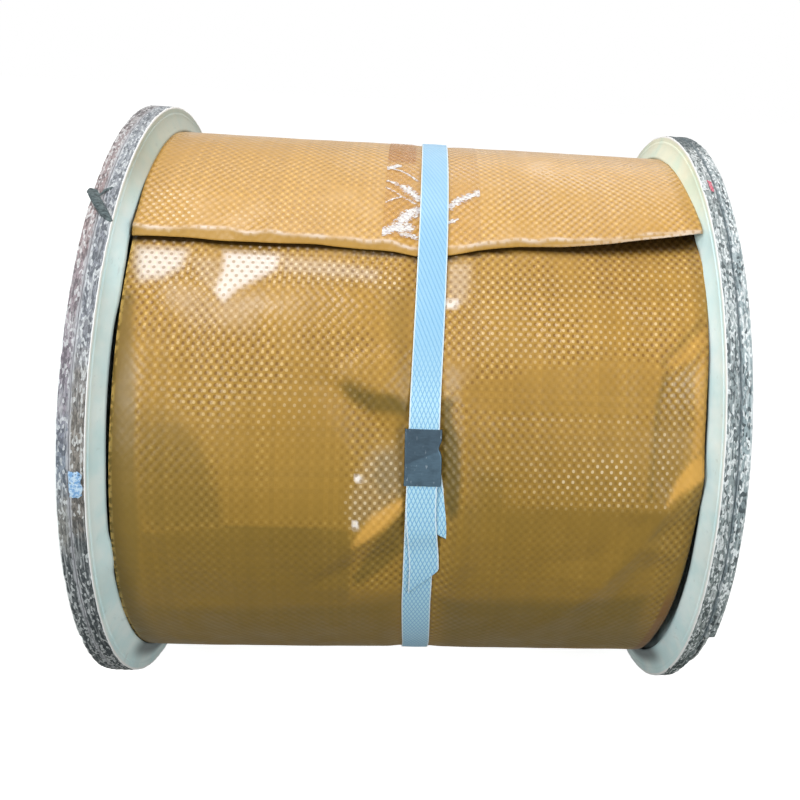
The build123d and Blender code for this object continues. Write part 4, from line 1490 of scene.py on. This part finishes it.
LINING_EDGE_MM = 136.1
LINING_OUTSIDE_MM, LINING_INSIDE_MM = 156.5, 146.3
CARD_THICKNESS_MM = 0.3


def facing_lining(name, side, loose):
    """The pale card ring between a flange and the winding, leaning out to the sheet's edge.

    loose gives (angle, spread, more lean in mm) where the card has come away or is pressed back."""
    angle = np.arange(0, FULL_TURN, 1.0)[:, None]
    u = np.linspace(0, 1, 9)[None, :]
    lean = face_mm - LINING_EDGE_MM - 0.05 + 0.25 * noise_on_reel(0 * angle, angle, 30.0, 60.0 * side)
    for middle, spread, more in loose:
        lean = lean + more * np.exp(-(turned_back(angle - middle) / spread) ** 4)
    radius = LINING_OUTSIDE_MM - (LINING_OUTSIDE_MM - LINING_INSIDE_MM) * u
    x = side * (face_mm - 0.05 - lean * (1 - np.cos(u * math.pi / 2)) ** 0.8)
    rows = grid_mesh("lining_rows", on_reel(x, angle, radius), closed_along=True)
    mesh = closed_body(name, [rows], fill_ends=False)
    smooth(mesh, 60)
    thicken(piece(name, mesh, facing), CARD_THICKNESS_MM)


facing_lining("left_facing_lining", -1, [(38.0, 6.5, 1.0), (-13.0, 3.5, 0.9)])
facing_lining("right_facing_lining", 1, [(48.0, 3.0, -0.8)])


# CAD pieces that keep their shape

def finish_node(node, material):
    """Give a CAD node that keeps its shape its own material."""
    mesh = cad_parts[node].data
    mesh.materials.clear()
    mesh.materials.append(material)


finish_node("barrel", wound_board())
zinc = bright_zinc()
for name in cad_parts:
    if name.startswith(("tie_bolt", "tie_nut")):
        finish_node(name, zinc)


# Floor, light and camera

def floor_finish():
    """Pale floor: white to the eye with the reel's shadow on it, darker to the light that bounces from it."""
    material, bench = new_material("pale_floor", Roughness=0.9, Specular_IOR_Level=0.0)
    camera_ray = bench.place("ShaderNodeLightPath").outputs["Is Camera Ray"]
    bench.finish(Base_Color=bench.tint(bench.seen(), rgb(104, 98, 88), rgb(225, 225, 225)))
    bench.finish(Emission_Color=(1.0, 1.0, 1.0, 1.0))
    bench.finish(Emission_Strength=bench.times(camera_ray, 0.84))
    return material


floor_mesh = grid_mesh("floor", np.array([[(-6, -6, 0), (6, -6, 0)], [(-6, 6, 0), (6, 6, 0)]], float))
floor_mesh.materials.append(floor_finish())
show("floor", floor_mesh)


def lamp(name, place, target, width, depth, watts, tone):
    """A rectangular soft lamp at a place, turned to a target."""
    light = bpy.data.lights.new(name, "AREA")
    light.shape = "RECTANGLE"
    light.size, light.size_y = width, depth
    light.energy = watts
    light.color = tone
    holder = show(name, light)
    holder.location = place
    holder.rotation_euler = (Vector(target) - Vector(place)).to_track_quat("-Z", "Y").to_euler()


lamp("key_lamp", (-0.42, -0.98, 1.72), (-0.02, 0, 0.2), 0.5, 0.4, 11.0, (1.0, 0.99, 0.97))
lamp("ceiling_panel", (-0.2, 0.35, 1.85), (0, 0, 0.2), 0.7, 0.8, 9.0, (1.0, 0.99, 0.97))
lamp("far_ceiling_panel", (0.5, 1.4, 1.5), (0, 0, 0.2), 1.2, 0.7, 6.5, (1.0, 0.98, 0.95))
lamp("left_window", (-1.35, -1.6, 0.55), (0.14, -0.1, 0.16), 0.8, 1.0, 20.0, (0.9, 0.98, 1.0))
lamp("right_window", (1.35, -1.6, 0.55), (-0.14, -0.1, 0.16), 0.8, 1.0, 20.0, (0.9, 0.98, 1.0))

world = bpy.data.worlds.new("studio")
world.use_nodes = True
bpy.context.scene.world = world
sky = Bench(world.node_tree)
background = world.node_tree.nodes["Background"]
sky.feed(background.inputs["Color"], (1.0, 1.0, 1.0, 1.0))
sky.feed(background.inputs["Strength"], sky.ramp(sky.seen(), 0.0, 1.0, 0.28, 1.0))

# Camera
camera_data = bpy.data.cameras.new("camera")
camera_data.sensor_width = 36.0
camera_data.lens = LENS_BY_WIDTH * camera_data.sensor_width
camera_data.shift_x = 0.5 - LOOKS_AT[0]
camera_data.shift_y = LOOKS_AT[1] - 0.5
camera = show("camera", camera_data)
axes = Matrix((CAMERA_RIGHT, CAMERA_UP, CAMERA_BACK)).transposed().to_4x4()
camera.matrix_world = Matrix.Translation(CAMERA_PLACE) @ axes
bpy.context.scene.camera = camera

bpy.context.scene.view_settings.view_transform = "Standard"

bpy.context.view_layer.update()
